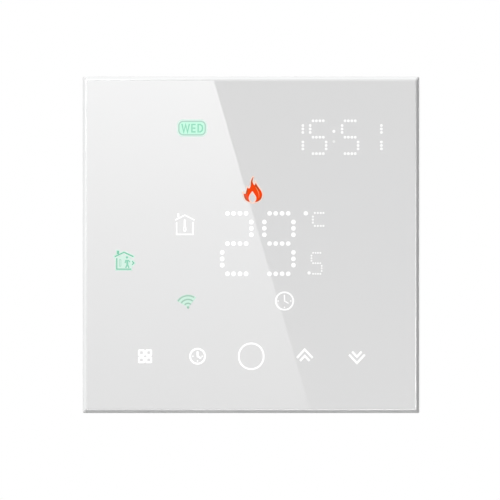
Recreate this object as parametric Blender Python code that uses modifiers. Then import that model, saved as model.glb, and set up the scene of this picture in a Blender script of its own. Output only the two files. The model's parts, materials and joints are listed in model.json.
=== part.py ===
"""A flush wall thermostat with a square touch-glass front.

A display unit (glass, frame, lamps, electronics) is pushed onto a base unit, which is screwed to a
wall box: a steel plate with a rear housing that holds the supply, the relay and six wire terminals.

Frame: +Z up and the glass faces -Y. The plane y = 0 is the wall, and the origin lies in it, midway
between the two fixing screws. All lengths are in metres.
"""

import math

import bmesh
import bpy
from mathutils import Matrix, Vector

MM = 0.001
# A corner cut at this share of half a slot's width makes its ends all but round.
ROUND_END = 0.98

# ---- Driving dimensions ----

PANEL_SIDE = 86.0 * MM
PANEL_DEPTH = 13.3 * MM
FIXING_PITCH = 60.0 * MM
HOUSING_SIDE = 51.0 * MM
HOUSING_DEPTH = 29.0 * MM
POLE_COUNT = 6
POLE_PITCH = 7.62 * MM
BUTTON_COUNT = 5
BUTTON_PITCH = 13.5 * MM
BUTTON_Z = -28.6 * MM

# The gap between parts that touch, and between glued layers, and how far a cutter runs past a cut.
GAP = 0.3 * MM
GLUE_GAP = 0.1 * MM
PAST = 1.0 * MM

WALL = 1.6 * MM
BOARD_THICK = 1.6 * MM
PLATE_THICK = 1.2 * MM

# ---- Layers of the display unit, from the front to the back ----

GLASS_THICK = 2.0 * MM
GLASS_CHAMFER = 0.9 * MM
FILM_THICK = 0.25 * MM
MASK_THICK = 2.5 * MM
COVER_THICK = 1.5 * MM

GLASS_FRONT = -PANEL_DEPTH
GLASS_BACK = GLASS_FRONT + GLASS_THICK
FILM_FRONT = GLASS_BACK + GLUE_GAP
FILM_BACK = FILM_FRONT + FILM_THICK
FRAME_FRONT = FILM_BACK + GLUE_GAP
FRAME_BACK = -0.5 * MM
MASK_BACK = FRAME_FRONT + MASK_THICK
BOARD_FRONT = MASK_BACK + GAP
BOARD_BACK = BOARD_FRONT + BOARD_THICK
COVER_BACK = -PLATE_THICK - 0.5 * MM
COVER_FRONT = COVER_BACK - COVER_THICK

FRAME_HALF = PANEL_SIDE / 2 - 0.6 * MM
FRAME_CORNER = 2.0 * MM
FRAME_INNER_HALF = FRAME_HALF - WALL
WINDOW_HALF = FRAME_INNER_HALF - 2.8 * MM
WINDOW_CUT = 6.0 * MM
MASK_HALF = WINDOW_HALF - GAP
COVER_SCREW_AT = FRAME_INNER_HALF - 3.2 * MM
BOSS_RADIUS = 2.6 * MM

# ---- Layers of the base unit ----

PLATE_HALF = 34.5 * MM
PLATE_OPENING_HALF = 22.0 * MM
PLATE_OPENING_CUT = 8.0 * MM
HOUSING_HALF = HOUSING_SIDE / 2
HOUSING_INNER_HALF = HOUSING_HALF - WALL
HOUSING_SCREW_AT = HOUSING_INNER_HALF - 2.7 * MM
BASE_COVER_FRONT = 0.6 * MM
POWER_BOARD_FRONT = 7.6 * MM
POWER_BOARD_BACK = POWER_BOARD_FRONT + BOARD_THICK
PARTS_START = POWER_BOARD_BACK + GAP

# ---- The plug between the two units ----

HEADER_X = 0.0
HEADER_Z = 16.0 * MM
HEADER_WIDTH = 10.2 * MM
HEADER_HEIGHT = 5.1 * MM
PIN_PITCH = 2.54 * MM
PIN_COLUMNS = 4
PIN_ROWS = 2
PIN_HALF = 0.32 * MM
SOCKET_FRONT = -0.4 * MM
SOCKET_HOLE_HALF = 0.55 * MM

# ---- Latches: tongues on the inner cover, in slots of the steel plate ----

LATCH_X = 12.0 * MM
LATCH_Z = 31.5 * MM
LATCH_WIDTH = 9.0 * MM
LATCH_THICK = 1.4 * MM
LATCH_REACH = 1.8 * MM

# ---- Light wells behind the signs: centre x, centre z, width, height, lamps across, lamps up ----

SIGN_WELLS = {
    "weekday": (-15.0 * MM, 29.9 * MM, 9.0 * MM, 6.0 * MM, 2, 1),
    "colon": (21.2 * MM, 27.6 * MM, 2.0 * MM, 9.8 * MM, 1, 2),
    "heating": (0.6 * MM, 14.2 * MM, 6.4 * MM, 7.4 * MM, 1, 2),
    "unit": (16.3 * MM, 6.4 * MM, 6.4 * MM, 5.4 * MM, 2, 1),
    "tenths": (16.3 * MM, -4.8 * MM, 6.4 * MM, 7.0 * MM, 1, 2),
    "at_home": (-16.8 * MM, 5.3 * MM, 7.0 * MM, 7.4 * MM, 1, 1),
    "away": (-32.2 * MM, -4.2 * MM, 7.0 * MM, 7.0 * MM, 1, 1),
    "wireless": (-16.6 * MM, -14.6 * MM, 6.4 * MM, 5.6 * MM, 1, 1),
    "schedule": (8.6 * MM, -14.4 * MM, 7.0 * MM, 7.0 * MM, 1, 1),
}
TIME_PAIRS_X = (14.15 * MM, 28.25 * MM)
TIME_DIGIT_OFFSET = 2.98 * MM
TIME_Z = 27.6 * MM
TIME_WELL = (5.2 * MM, 9.8 * MM)
BIG_PAIR_X = 1.7 * MM
BIG_DIGIT_OFFSET = 5.4 * MM
BIG_Z = 0.4 * MM
BIG_WELL = (9.6 * MM, 17.4 * MM)
BUTTON_WELL = (10.4 * MM, 9.0 * MM)

# ---- Terminals ----

BLOCK_BOTTOM = -HOUSING_INNER_HALF + 0.5 * MM
BLOCK_TOP = BLOCK_BOTTOM + 11.3 * MM
BLOCK_BACK = HOUSING_DEPTH - 0.4 * MM
POLE_Z = BLOCK_BOTTOM + 5.2 * MM
CAVITY_HALF = 3.15 * MM
CAVITY_FRONT = 16.4 * MM
CAVITY_BACK = 25.4 * MM
CAVITY_Z = (BLOCK_BOTTOM + 1.5 * MM, BLOCK_BOTTOM + 8.9 * MM)
SCREW_SEAT = 26.0 * MM
CLAMP_FRONT = CAVITY_FRONT + GAP
CLAMP_HEIGHT = 6.4 * MM
CLAMP_WALL = 0.8 * MM
CONTACT_FRONT = 21.0 * MM
CONTACT_THICK = 0.8 * MM
CONTACT_HALF = 1.7 * MM

# ---- Relay ----

RELAY_X = (-22.0 * MM, 6.8 * MM)
RELAY_Z = (8.6 * MM, 21.2 * MM)
RELAY_BACK = 25.2 * MM
RELAY_WALL = 0.8 * MM
RELAY_MID_Z = (RELAY_Z[0] + RELAY_Z[1]) / 2
CORE_X = -14.0 * MM
YOKE_X = (-8.6 * MM, -7.6 * MM)
YOKE_FRONT = 11.9 * MM
YOKE_BACK = 22.6 * MM
ARMATURE_FRONT = 23.2 * MM
ARMATURE_PIVOT = (-8.1 * MM, 22.9 * MM, RELAY_MID_Z)

# Turning a piece made along its own +Z to face the front or the back of the thermostat.
TO_FRONT = (math.radians(90), 0.0, 0.0)
TO_BACK = (math.radians(-90), 0.0, 0.0)
UPRIGHT = (0.0, 0.0, 0.0)

WHITE = (0.86, 0.86, 0.85)
PALE_GREY = (0.78, 0.78, 0.77)
STEEL = (0.62, 0.63, 0.65)
BRASS = (0.72, 0.55, 0.25)
GREEN_BOARD = (0.03, 0.18, 0.08)
BLACK = (0.02, 0.02, 0.022)


# ---- Helpers ----


def new_collection(name):
    made = bpy.data.collections.new(name)
    bpy.context.scene.collection.children.link(made)
    return made


def mesh_of(bm, name):
    mesh = bpy.data.meshes.new(name)
    bm.to_mesh(mesh)
    bm.free()
    return mesh


def add_object(name, data, location=(0.0, 0.0, 0.0), rotation=UPRIGHT):
    obj = bpy.data.objects.new(name, data)
    obj.location = location
    obj.rotation_euler = rotation
    PARTS.objects.link(obj)
    return obj


def boxes(name, corners):
    """One object of closed boxes that don't touch, each given by its low and high corner."""
    bm = bmesh.new()
    for low, high in corners:
        size = Vector(high) - Vector(low)
        place = Matrix.Translation((Vector(low) + Vector(high)) / 2)
        bmesh.ops.create_cube(bm, size=1.0, matrix=place @ Matrix.Diagonal((*size, 1.0)))
    return add_object(name, mesh_of(bm, name))


def rounded_bmesh(size, corner, segments):
    """A centred box whose four edges along Y are chamfered, or rounded by more segments."""
    bm = bmesh.new()
    bmesh.ops.create_cube(bm, size=1.0, matrix=Matrix.Diagonal((*size, 1.0)))
    along_y = [e for e in bm.edges if abs(e.verts[0].co.y - e.verts[1].co.y) > size.y / 2]
    bmesh.ops.bevel(
        bm, geom=along_y, offset=corner, segments=segments, profile=0.5, affect="EDGES"
    )
    return bm


def plate(name, low, high, corner, segments=1):
    size = Vector(high) - Vector(low)
    centre = (Vector(low) + Vector(high)) / 2
    return add_object(name, mesh_of(rounded_bmesh(size, corner, segments), name), centre)


def square_plate(name, half, front, back, corner, segments=1):
    return plate(name, (-half, front, -half), (half, back, half), corner, segments)


def tray(name, low, high, open_towards, wall, corner, segments):
    """A shell with its open side towards +Y (1) or -Y (-1)."""
    size = Vector(high) - Vector(low)
    centre = (Vector(low) + Vector(high)) / 2
    bm = rounded_bmesh(size, corner, segments)
    bm.normal_update()
    mouth = [f for f in bm.faces if f.normal.y * open_towards > 0.9]
    bmesh.ops.delete(bm, geom=mouth, context="FACES")
    obj = add_object(name, mesh_of(bm, name), centre)
    solid = obj.modifiers.new("Wall", "SOLIDIFY")
    solid.thickness = wall
    solid.offset = -1.0
    solid.use_even_offset = True
    return obj


def rods(name, centres, radius, front, back, sides=16):
    """One object of closed cylinders along Y, at each (x, z) centre."""
    bm = bmesh.new()
    for x, z in centres:
        place = Matrix.Translation((x, (front + back) / 2, z)) @ Matrix.Rotation(
            math.radians(90), 4, "X"
        )
        bmesh.ops.create_cone(
            bm,
            cap_ends=True,
            segments=sides,
            radius1=radius,
            radius2=radius,
            depth=back - front,
            matrix=place,
        )
    return add_object(name, mesh_of(bm, name))


def turned(name, profile, location, rotation, sides=16):
    """A turned piece: (radius, height) points from the top of its axis down to the bottom."""
    bm = bmesh.new()
    points = [bm.verts.new((radius, 0.0, height)) for radius, height in profile]
    for first, second in zip(points, points[1:]):
        bm.edges.new((first, second))
    obj = add_object(name, mesh_of(bm, name), location, rotation)
    screw = obj.modifiers.new("Turn", "SCREW")
    screw.angle = math.tau
    screw.steps = sides
    screw.render_steps = sides
    screw.use_merge_vertices = True
    screw.merge_threshold = 0.00001
    screw.use_smooth_shade = True
    return obj


def boolean(target, tool, operation):
    step = target.modifiers.new(tool.name, "BOOLEAN")
    step.operation = operation
    step.solver = "EXACT"
    step.object = tool
    PARTS.objects.unlink(tool)
    HELPERS.objects.link(tool)
    tool.hide_render = True
    tool.display_type = "WIRE"


def cut(target, tool):
    boolean(target, tool, "DIFFERENCE")


def join(target, tool):
    boolean(target, tool, "UNION")


def evaluated_mesh(obj):
    """The object's mesh with its modifiers applied and a curve's loose caps welded."""
    bpy.context.view_layer.update()
    graph = bpy.context.evaluated_depsgraph_get()
    mesh = bpy.data.meshes.new_from_object(obj.evaluated_get(graph))
    bm = bmesh.new()
    bm.from_mesh(mesh)
    bmesh.ops.remove_doubles(bm, verts=bm.verts, dist=0.000001)
    bm.to_mesh(mesh)
    bm.free()
    return mesh


def as_mesh(obj):
    """Replace a curve, or an object with modifiers, by an object of plain mesh."""
    name = obj.name
    mesh = evaluated_mesh(obj)
    place = obj.matrix_world.copy()
    bpy.data.objects.remove(obj)
    made = add_object(name, mesh)
    made.matrix_world = place
    return made


def finish(obj, colour, roughness, metallic=0.0):
    """Give the object its own material, and shade its round faces smooth."""
    made = bpy.data.materials.new(obj.name)
    made.use_nodes = True
    shader = made.node_tree.nodes["Principled BSDF"]
    shader.inputs["Base Color"].default_value = (*colour, 1.0)
    shader.inputs["Roughness"].default_value = roughness
    shader.inputs["Metallic"].default_value = metallic
    obj.data.materials.clear()
    obj.data.materials.append(made)
    if obj.type == "MESH":
        obj.data.shade_smooth()
        obj.data.set_sharp_from_angle(angle=math.radians(35))
    return obj


def copies(first, places):
    """Name the first piece NAME_1 and add NAME_2 and on, which share its mesh, at the other places."""
    base = first.name
    first.name = f"{base}_1"
    made = [first]
    for number, place in enumerate(places[1:], start=2):
        made.append(add_object(f"{base}_{number}", first.data, place, first.rotation_euler))
    return made


def tube(name, points, radius):
    """A wire through the points, with closed ends."""
    curve = bpy.data.curves.new(name, "CURVE")
    curve.dimensions = "3D"
    curve.bevel_depth = radius
    curve.bevel_resolution = 1
    curve.use_fill_caps = True
    spline = curve.splines.new("POLY")
    spline.points.add(len(points) - 1)
    for point, place in zip(spline.points, points):
        point.co = (*place, 1.0)
    return add_object(name, curve)


def cross_recess(name, location, rotation, span, width, depth):
    """A cutter for a cross-head recess, sunk from the origin down its own Z axis."""
    half = width / 2
    arm = ((-span / 2, -half, -depth), (span / 2, half, depth))
    other = ((-half, -span / 2, -depth), (half, span / 2, depth))
    tool = boxes(name, [arm])
    join(tool, boxes(name + "_across", [other]))
    tool = as_mesh(tool)
    tool.location = location
    tool.rotation_euler = rotation
    return tool


def screw_piece(name, head, shank, location, rotation, sides=14, countersunk=False):
    """A cross-head screw with its head on +Z. Head and shank are (radius, length)."""
    head_radius, head_height = head
    shank_radius, shank_length = shank
    if countersunk:
        profile = [(0.0, 0.0), (head_radius, 0.0), (shank_radius, -head_height)]
    else:
        shoulder = 0.72 * head_radius
        profile = [
            (0.0, head_height),
            (shoulder, 0.9 * head_height),
            (head_radius, 0.45 * head_height),
            (head_radius, 0.0),
            (shank_radius, 0.0),
        ]
    end = profile[-1][1] - shank_length
    profile += [
        (shank_radius, end + shank_radius),
        (0.5 * shank_radius, end),
        (0.0, end),
    ]
    screw = turned(name, profile, (0.0, 0.0, 0.0), UPRIGHT, sides)
    top = (0.0, 0.0, profile[0][1])
    recess = cross_recess(
        name + "_recess", top, UPRIGHT, 1.1 * head_radius, 0.25 * head_radius, 0.5 * head_height
    )
    cut(screw, recess)
    screw = as_mesh(screw)
    bpy.data.objects.remove(recess)
    screw.location = location
    screw.rotation_euler = rotation
    return screw


def corners_at(distance):
    return [(x * distance, z * distance) for x in (-1, 1) for z in (-1, 1)]


def spread(count, pitch):
    """Places in a row, centred on zero."""
    return [(i - (count - 1) / 2) * pitch for i in range(count)]


# ---- Display unit ----


def well_list():
    """Every light well as (x, z, width, height, lamps across, lamps up)."""
    wells = list(SIGN_WELLS.values())
    for pair in TIME_PAIRS_X:
        for side in (-1, 1):
            wells.append((pair + side * TIME_DIGIT_OFFSET, TIME_Z, *TIME_WELL, 1, 3))
    for side in (-1, 1):
        wells.append((BIG_PAIR_X + side * BIG_DIGIT_OFFSET, BIG_Z, *BIG_WELL, 2, 4))
    for x in spread(BUTTON_COUNT, BUTTON_PITCH):
        wells.append((x, BUTTON_Z, *BUTTON_WELL, 2, 1))
    return wells


def make_glass_panel():
    bm = bmesh.new()
    size = (PANEL_SIDE, GLASS_THICK, PANEL_SIDE)
    bmesh.ops.create_cube(bm, size=1.0, matrix=Matrix.Diagonal((*size, 1.0)))
    front = [e for e in bm.edges if all(v.co.y < 0 for v in e.verts)]
    bmesh.ops.bevel(bm, geom=front, offset=GLASS_CHAMFER, segments=1, profile=0.5, affect="EDGES")
    centre = (0.0, (GLASS_FRONT + GLASS_BACK) / 2, 0.0)
    glass = add_object("glass_panel", mesh_of(bm, "glass_panel"), centre)
    return [finish(glass, WHITE, 0.05)]


def make_glued_layers():
    tape_outer = FRAME_HALF - 1.4 * MM
    tape_inner = WINDOW_HALF + GAP
    tape = square_plate("adhesive_frame", tape_outer, FILM_FRONT, FILM_BACK, 1.0 * MM)
    window_cut = square_plate(
        "tape_window", tape_inner, FILM_FRONT - PAST, FILM_BACK + PAST, 0.5 * MM
    )
    cut(tape, window_cut)
    film = square_plate("diffuser_film", WINDOW_HALF, FILM_FRONT, FILM_BACK, 0.5 * MM)
    return [finish(tape, BLACK, 0.8), finish(film, (0.9, 0.9, 0.9), 0.5)]


def make_light_mask():
    mask = square_plate("light_mask", MASK_HALF, FRAME_FRONT, MASK_BACK, WINDOW_CUT)
    holes = []
    for x, z, width, height, _, _ in well_list():
        low = (x - width / 2, FRAME_FRONT - PAST, z - height / 2)
        high = (x + width / 2, MASK_BACK + PAST, z + height / 2)
        holes.append((low, high))
    cut(mask, boxes("mask_wells", holes))
    return [finish(mask, WHITE, 0.6)]


def make_front_frame():
    frame = tray(
        "front_frame",
        (-FRAME_HALF, FRAME_FRONT, -FRAME_HALF),
        (FRAME_HALF, FRAME_BACK, FRAME_HALF),
        1,
        WALL,
        FRAME_CORNER,
        3,
    )
    window_back = FRAME_FRONT + WALL + PAST
    cut(frame, square_plate("frame_window", WINDOW_HALF, FRAME_FRONT - PAST, window_back, WINDOW_CUT))

    vent_count, vent_pitch = 9, 4.2 * MM
    vent_half, vent_front, vent_back = 0.7 * MM, -8.0 * MM, -4.4 * MM
    for side in (-1, 1):
        z_low, z_high = sorted((side * (FRAME_INNER_HALF - WALL), side * (FRAME_HALF + WALL)))
        slots = [
            ((x - vent_half, vent_front, z_low), (x + vent_half, vent_back, z_high))
            for x in spread(vent_count, vent_pitch)
        ]
        cut(frame, boxes("frame_vents", slots))
    pry_half, pry_depth = 6.0 * MM, 1.2 * MM
    pry_low = (-pry_half, FRAME_BACK - pry_depth, -FRAME_HALF - WALL)
    pry_high = (pry_half, FRAME_BACK + PAST, -FRAME_INNER_HALF + WALL)
    cut(frame, boxes("pry_slot", [(pry_low, pry_high)]))

    boss_back = COVER_FRONT - GAP
    ledge_inside = FRAME_FRONT + WALL / 2
    places = corners_at(COVER_SCREW_AT)
    join(frame, rods("frame_bosses", places, BOSS_RADIUS, ledge_inside, boss_back))
    hole = 1.25 * MM
    cut(frame, rods("frame_pilots", places, hole, boss_back - 5.0 * MM, boss_back + PAST, 12))
    return [finish(frame, WHITE, 0.35)]


def make_display_board():
    board = square_plate("display_board", MASK_HALF, BOARD_FRONT, BOARD_BACK, WINDOW_CUT)
    lamp_half_x, lamp_half_z, lamp_height = 0.8 * MM, 0.4 * MM, 0.6 * MM
    from_edge = 1.1 * MM
    sunk = 0.2 * MM
    lamps = []
    for x, z, width, height, across, up in well_list():
        # Lamps two across stand at the ends of their well, clear of a touch spring between them.
        for dx in spread(across, width - 2 * from_edge):
            for dz in spread(up, height / (up + 0.6)):
                low = (x + dx - lamp_half_x, BOARD_FRONT - lamp_height, z + dz - lamp_half_z)
                high = (x + dx + lamp_half_x, BOARD_FRONT + sunk, z + dz + lamp_half_z)
                lamps.append((low, high))
    join(board, boxes("board_lamps", lamps))

    # Each chip: centre x, centre z, width, height along z, how far it stands off the board.
    chips = (
        (14.0 * MM, -8.0 * MM, 10.0 * MM, 10.0 * MM, 1.5 * MM),
        (-2.0 * MM, -22.0 * MM, 10.0 * MM, 4.0 * MM, 1.5 * MM),
        (24.0 * MM, 18.0 * MM, 6.0 * MM, 4.0 * MM, 1.4 * MM),
        (16.0 * MM, 26.0 * MM, 3.2 * MM, 5.0 * MM, 1.8 * MM),
        (-30.0 * MM, -24.0 * MM, 8.0 * MM, 8.0 * MM, 2.2 * MM),
        (4.0 * MM, 2.0 * MM, 3.0 * MM, 1.6 * MM, 1.0 * MM),
        (25.0 * MM, -20.0 * MM, 2.0 * MM, 1.2 * MM, 1.0 * MM),
    )
    packages = []
    for x, z, width, height, proud in chips:
        low = (x - width / 2, BOARD_BACK - sunk, z - height / 2)
        high = (x + width / 2, BOARD_BACK + proud, z + height / 2)
        packages.append((low, high))
    join(board, boxes("board_chips", packages))
    return [finish(board, GREEN_BOARD, 0.4)]


def make_wifi_module():
    left, bottom, width, height = -24.5 * MM, 0.0, 16.0 * MM, 24.0 * MM
    front = BOARD_BACK + GAP
    board_back = front + 0.8 * MM
    can_back = board_back + 1.7 * MM
    rim = 1.0 * MM
    module = boxes(
        "wifi_module", [((left, front, bottom), (left + width, board_back, bottom + height))]
    )
    can_low = (left + rim, board_back - 0.2 * MM, bottom + rim)
    can_high = (left + width - rim, can_back, bottom + 17.0 * MM)
    join(module, boxes("module_can", [(can_low, can_high)]))
    return [finish(module, STEEL, 0.3, 1.0)]


def make_touch_springs():
    """Coils that carry each touch sign's signal from the glass to the board."""
    wire, turns, steps_a_turn = 0.25 * MM, 3, 10
    front_radius, back_radius = 2.9 * MM, 2.4 * MM
    front, back = FRAME_FRONT + 0.35 * MM, BOARD_FRONT - 0.55 * MM
    count = turns * steps_a_turn
    points = []
    for i in range(count + 1):
        share = i / count
        radius = front_radius + (back_radius - front_radius) * share
        angle = math.tau * turns * share
        points.append((radius * math.cos(angle), (back - front) * share, radius * math.sin(angle)))
    places = [(x, front, BUTTON_Z) for x in spread(BUTTON_COUNT, BUTTON_PITCH)]
    first = tube("touch_spring", points, wire)
    first.location = places[0]
    finish(first, STEEL, 0.3, 1.0)
    return copies(first, places)


def make_room_sensor():
    """A thermistor bead on two legs, just inside the lower vents."""
    x, y, z = 10.0 * MM, -5.2 * MM, -FRAME_INNER_HALF + 1.6 * MM
    bead_radius, leg_radius, leg_offset = 0.95 * MM, 0.2 * MM, 0.5 * MM
    bm = bmesh.new()
    bmesh.ops.create_uvsphere(bm, u_segments=10, v_segments=7, radius=bead_radius)
    bead = add_object("room_sensor", mesh_of(bm, "room_sensor"), (x, y, z))
    for side in (-1, 1):
        leg_x = x + side * leg_offset
        high = -MASK_HALF + 2.5 * MM
        leg = tube(
            "sensor_leg",
            [(leg_x, y, z), (leg_x, y, high), (leg_x, BOARD_BACK + GAP, high + 0.6 * MM)],
            leg_radius,
        )
        join(bead, as_mesh(leg))
    return [finish(bead, BLACK, 0.4)]


def pin_places():
    return [
        (HEADER_X + dx, HEADER_Z + dz)
        for dx in spread(PIN_COLUMNS, PIN_PITCH)
        for dz in spread(PIN_ROWS, PIN_PITCH)
    ]


def header_box(front, back, margin=0.0):
    """Corners of a box around the plug, with the given margin on its four sides."""
    half_x = HEADER_WIDTH / 2 + margin
    half_z = HEADER_HEIGHT / 2 + margin
    low = (HEADER_X - half_x, front, HEADER_Z - half_z)
    return low, (HEADER_X + half_x, back, HEADER_Z + half_z)


def make_board_header():
    front = BOARD_BACK + GAP
    block_back = front + 2.5 * MM
    header = boxes("board_header", [header_box(front, block_back)])
    pin_front, pin_back = block_back - 1.0 * MM, 5.0 * MM
    pins = [
        ((x - PIN_HALF, pin_front, z - PIN_HALF), (x + PIN_HALF, pin_back, z + PIN_HALF))
        for x, z in pin_places()
    ]
    join(header, boxes("header_pins", pins))
    return [finish(header, BLACK, 0.5)]


def make_inner_cover():
    cover = square_plate(
        "inner_cover", FRAME_INNER_HALF - GAP, COVER_FRONT, COVER_BACK, 1.0 * MM
    )
    front, back = COVER_FRONT - PAST, COVER_BACK + PAST
    head_room = 5.0 * MM
    for side in (-1, 1):
        x = side * FIXING_PITCH / 2
        low, high = (x - head_room, front, -head_room), (x + head_room, back, head_room)
        cut(cover, plate("screw_head_room", low, high, ROUND_END * head_room, 5))
    cut(cover, boxes("plug_room", [header_box(front, back, 1.4 * MM)]))
    cut(cover, rods("cover_holes", corners_at(COVER_SCREW_AT), 1.25 * MM, front, back, 12))

    vent_count, vent_pitch, vent_half = 7, 5.0 * MM, 0.8 * MM
    vent_low, vent_high = -22.0 * MM, -12.0 * MM
    slots = [
        ((x - vent_half, front, vent_low), (x + vent_half, back, vent_high))
        for x in spread(vent_count, vent_pitch)
    ]
    cut(cover, boxes("cover_vents", slots))

    half_x, half_z, root = LATCH_WIDTH / 2, LATCH_THICK / 2, COVER_BACK - 0.7 * MM
    tongues, catches = [], []
    catch, catch_length = 0.3 * MM, 1.0 * MM
    for x in (-LATCH_X, LATCH_X):
        for z in (-LATCH_Z, LATCH_Z):
            tongues.append(
                ((x - half_x, root, z - half_z), (x + half_x, LATCH_REACH, z + half_z))
            )
            z_low, z_high = sorted((z, z + math.copysign(half_z + catch, z)))
            low = (x - half_x / 2, LATCH_REACH - catch_length, z_low)
            catches.append((low, (x + half_x / 2, LATCH_REACH - 0.2 * MM, z_high)))
    join(cover, boxes("latch_tongues", tongues))
    join(cover, boxes("latch_catches", catches))
    return [finish(cover, PALE_GREY, 0.5)]


def make_cover_screws():
    places = [(x, COVER_BACK + GLUE_GAP, z) for x, z in corners_at(COVER_SCREW_AT)]
    head, shank = (2.1 * MM, 1.0 * MM), (1.05 * MM, 6.0 * MM)
    first = screw_piece("cover_screw", head, shank, places[0], TO_BACK, 12)
    finish(first, STEEL, 0.35, 1.0)
    return copies(first, places)


# ---- Base unit ----


def fixing_places():
    return [(-FIXING_PITCH / 2, 0.0), (FIXING_PITCH / 2, 0.0)]


def housing_screw_places():
    return [(HOUSING_SCREW_AT, HOUSING_SCREW_AT), (-HOUSING_SCREW_AT, -HOUSING_SCREW_AT)]


def make_mounting_plate():
    steel = square_plate("mounting_plate", PLATE_HALF, -PLATE_THICK, 0.0, 2.0 * MM, 3)
    front, back = -PLATE_THICK - PAST, PAST
    opening = square_plate("plate_opening", PLATE_OPENING_HALF, front, back, PLATE_OPENING_CUT)
    cut(steel, opening)
    slot_half, slot_reach = 2.25 * MM, 4.5 * MM
    upright = [(x, z, slot_half, slot_reach) for x, z in fixing_places()]
    level = [(0.0, side * FIXING_PITCH / 2, slot_reach, slot_half) for side in (-1, 1)]
    for x, z, half_x, half_z in upright + level:
        low, high = (x - half_x, front, z - half_z), (x + half_x, back, z + half_z)
        cut(steel, plate("fixing_slot", low, high, ROUND_END * slot_half, 4))
    room = 0.5 * MM
    latch_x, latch_z = LATCH_WIDTH / 2 + room, LATCH_THICK / 2 + room
    slots = [
        ((x - latch_x, front, z - latch_z), (x + latch_x, back, z + latch_z))
        for x in (-LATCH_X, LATCH_X)
        for z in (-LATCH_Z, LATCH_Z)
    ]
    cut(steel, boxes("latch_slots", slots))
    sink_radius, hole_radius = 2.8 * MM, 1.5 * MM
    for x, z in housing_screw_places():
        profile = [
            (0.0, PAST),
            (sink_radius + PAST, PAST),
            (hole_radius, -sink_radius + hole_radius),
            (hole_radius, -PLATE_THICK - PAST),
            (0.0, -PLATE_THICK - PAST),
        ]
        cut(steel, turned("screw_sink", profile, (x, -PLATE_THICK, z), TO_FRONT, 14))
    return [finish(steel, STEEL, 0.35, 1.0)]


def make_mounting_screws():
    places = [(x, -PLATE_THICK - GLUE_GAP, z) for x, z in fixing_places()]
    head, shank = (3.6 * MM, 2.2 * MM), (1.95 * MM, 22.0 * MM)
    first = screw_piece("mounting_screw", head, shank, places[0], TO_FRONT)
    finish(first, STEEL, 0.3, 1.0)
    return copies(first, places)


def make_base_housing():
    housing = tray(
        "base_housing",
        (-HOUSING_HALF, GAP, -HOUSING_HALF),
        (HOUSING_HALF, HOUSING_DEPTH, HOUSING_HALF),
        -1,
        WALL,
        3.0 * MM,
        3,
    )
    notch_half = HOUSING_INNER_HALF - 0.6 * MM
    notch_low = (-notch_half, 14.6 * MM, -HOUSING_HALF - WALL)
    notch_high = (notch_half, HOUSING_DEPTH + WALL, BLOCK_TOP + 0.4 * MM)
    cut(housing, boxes("terminal_notch", [(notch_low, notch_high)]))

    vent_count, vent_pitch, vent_half = 7, 5.0 * MM, 0.7 * MM
    vent_low, vent_high = 3.0 * MM, 17.0 * MM
    back = HOUSING_DEPTH + WALL
    slots = [
        ((x - vent_half, HOUSING_DEPTH - 2 * WALL, vent_low), (x + vent_half, back, vent_high))
        for x in spread(vent_count, vent_pitch)
    ]
    cut(housing, boxes("housing_vents", slots))

    boss_radius, boss_back = 3.0 * MM, POWER_BOARD_FRONT - 0.6 * MM
    places = housing_screw_places()
    join(housing, rods("housing_bosses", places, boss_radius, GAP, boss_back))
    cut(housing, rods("housing_pilots", places, 1.4 * MM, -GAP, boss_back - 0.8 * MM, 12))
    return [finish(housing, PALE_GREY, 0.5)]


def make_housing_screws():
    places = [(x, -PLATE_THICK, z) for x, z in housing_screw_places()]
    head, shank = (2.5 * MM, 1.3 * MM), (1.2 * MM, 5.0 * MM)
    first = screw_piece("housing_screw", head, shank, places[0], TO_FRONT, 12, True)
    finish(first, STEEL, 0.35, 1.0)
    return copies(first, places)


def make_base_cover():
    back = BASE_COVER_FRONT + COVER_THICK
    half = HOUSING_INNER_HALF - GAP
    cover = square_plate("base_cover", half, BASE_COVER_FRONT, back, 10.2 * MM)
    room = header_box(BASE_COVER_FRONT - PAST, back + PAST, 0.35 * MM)
    cut(cover, boxes("socket_room", [room]))
    return [finish(cover, PALE_GREY, 0.5)]


def make_power_board():
    half = HOUSING_INNER_HALF - 0.5 * MM
    board = square_plate("power_board", half, POWER_BOARD_FRONT, POWER_BOARD_BACK, 2.5 * MM)
    room = 0.2 * MM
    z_low, z_high = contact_leg_z()
    slots = [
        (
            (x - CONTACT_HALF - room, POWER_BOARD_FRONT - PAST, z_low - room),
            (x + CONTACT_HALF + room, POWER_BOARD_BACK + PAST, z_high + room),
        )
        for x in spread(POLE_COUNT, POLE_PITCH)
    ]
    cut(board, boxes("pin_slots", slots))
    return [finish(board, GREEN_BOARD, 0.4)]


def make_header_socket():
    back = POWER_BOARD_FRONT - GAP
    socket = boxes("header_socket", [header_box(SOCKET_FRONT, back)])
    hole_back = back - 1.0 * MM
    hole = SOCKET_HOLE_HALF
    holes = [
        ((x - hole, SOCKET_FRONT - PAST, z - hole), (x + hole, hole_back, z + hole))
        for x, z in pin_places()
    ]
    cut(socket, boxes("socket_holes", holes))
    return [finish(socket, BLACK, 0.5)]


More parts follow.
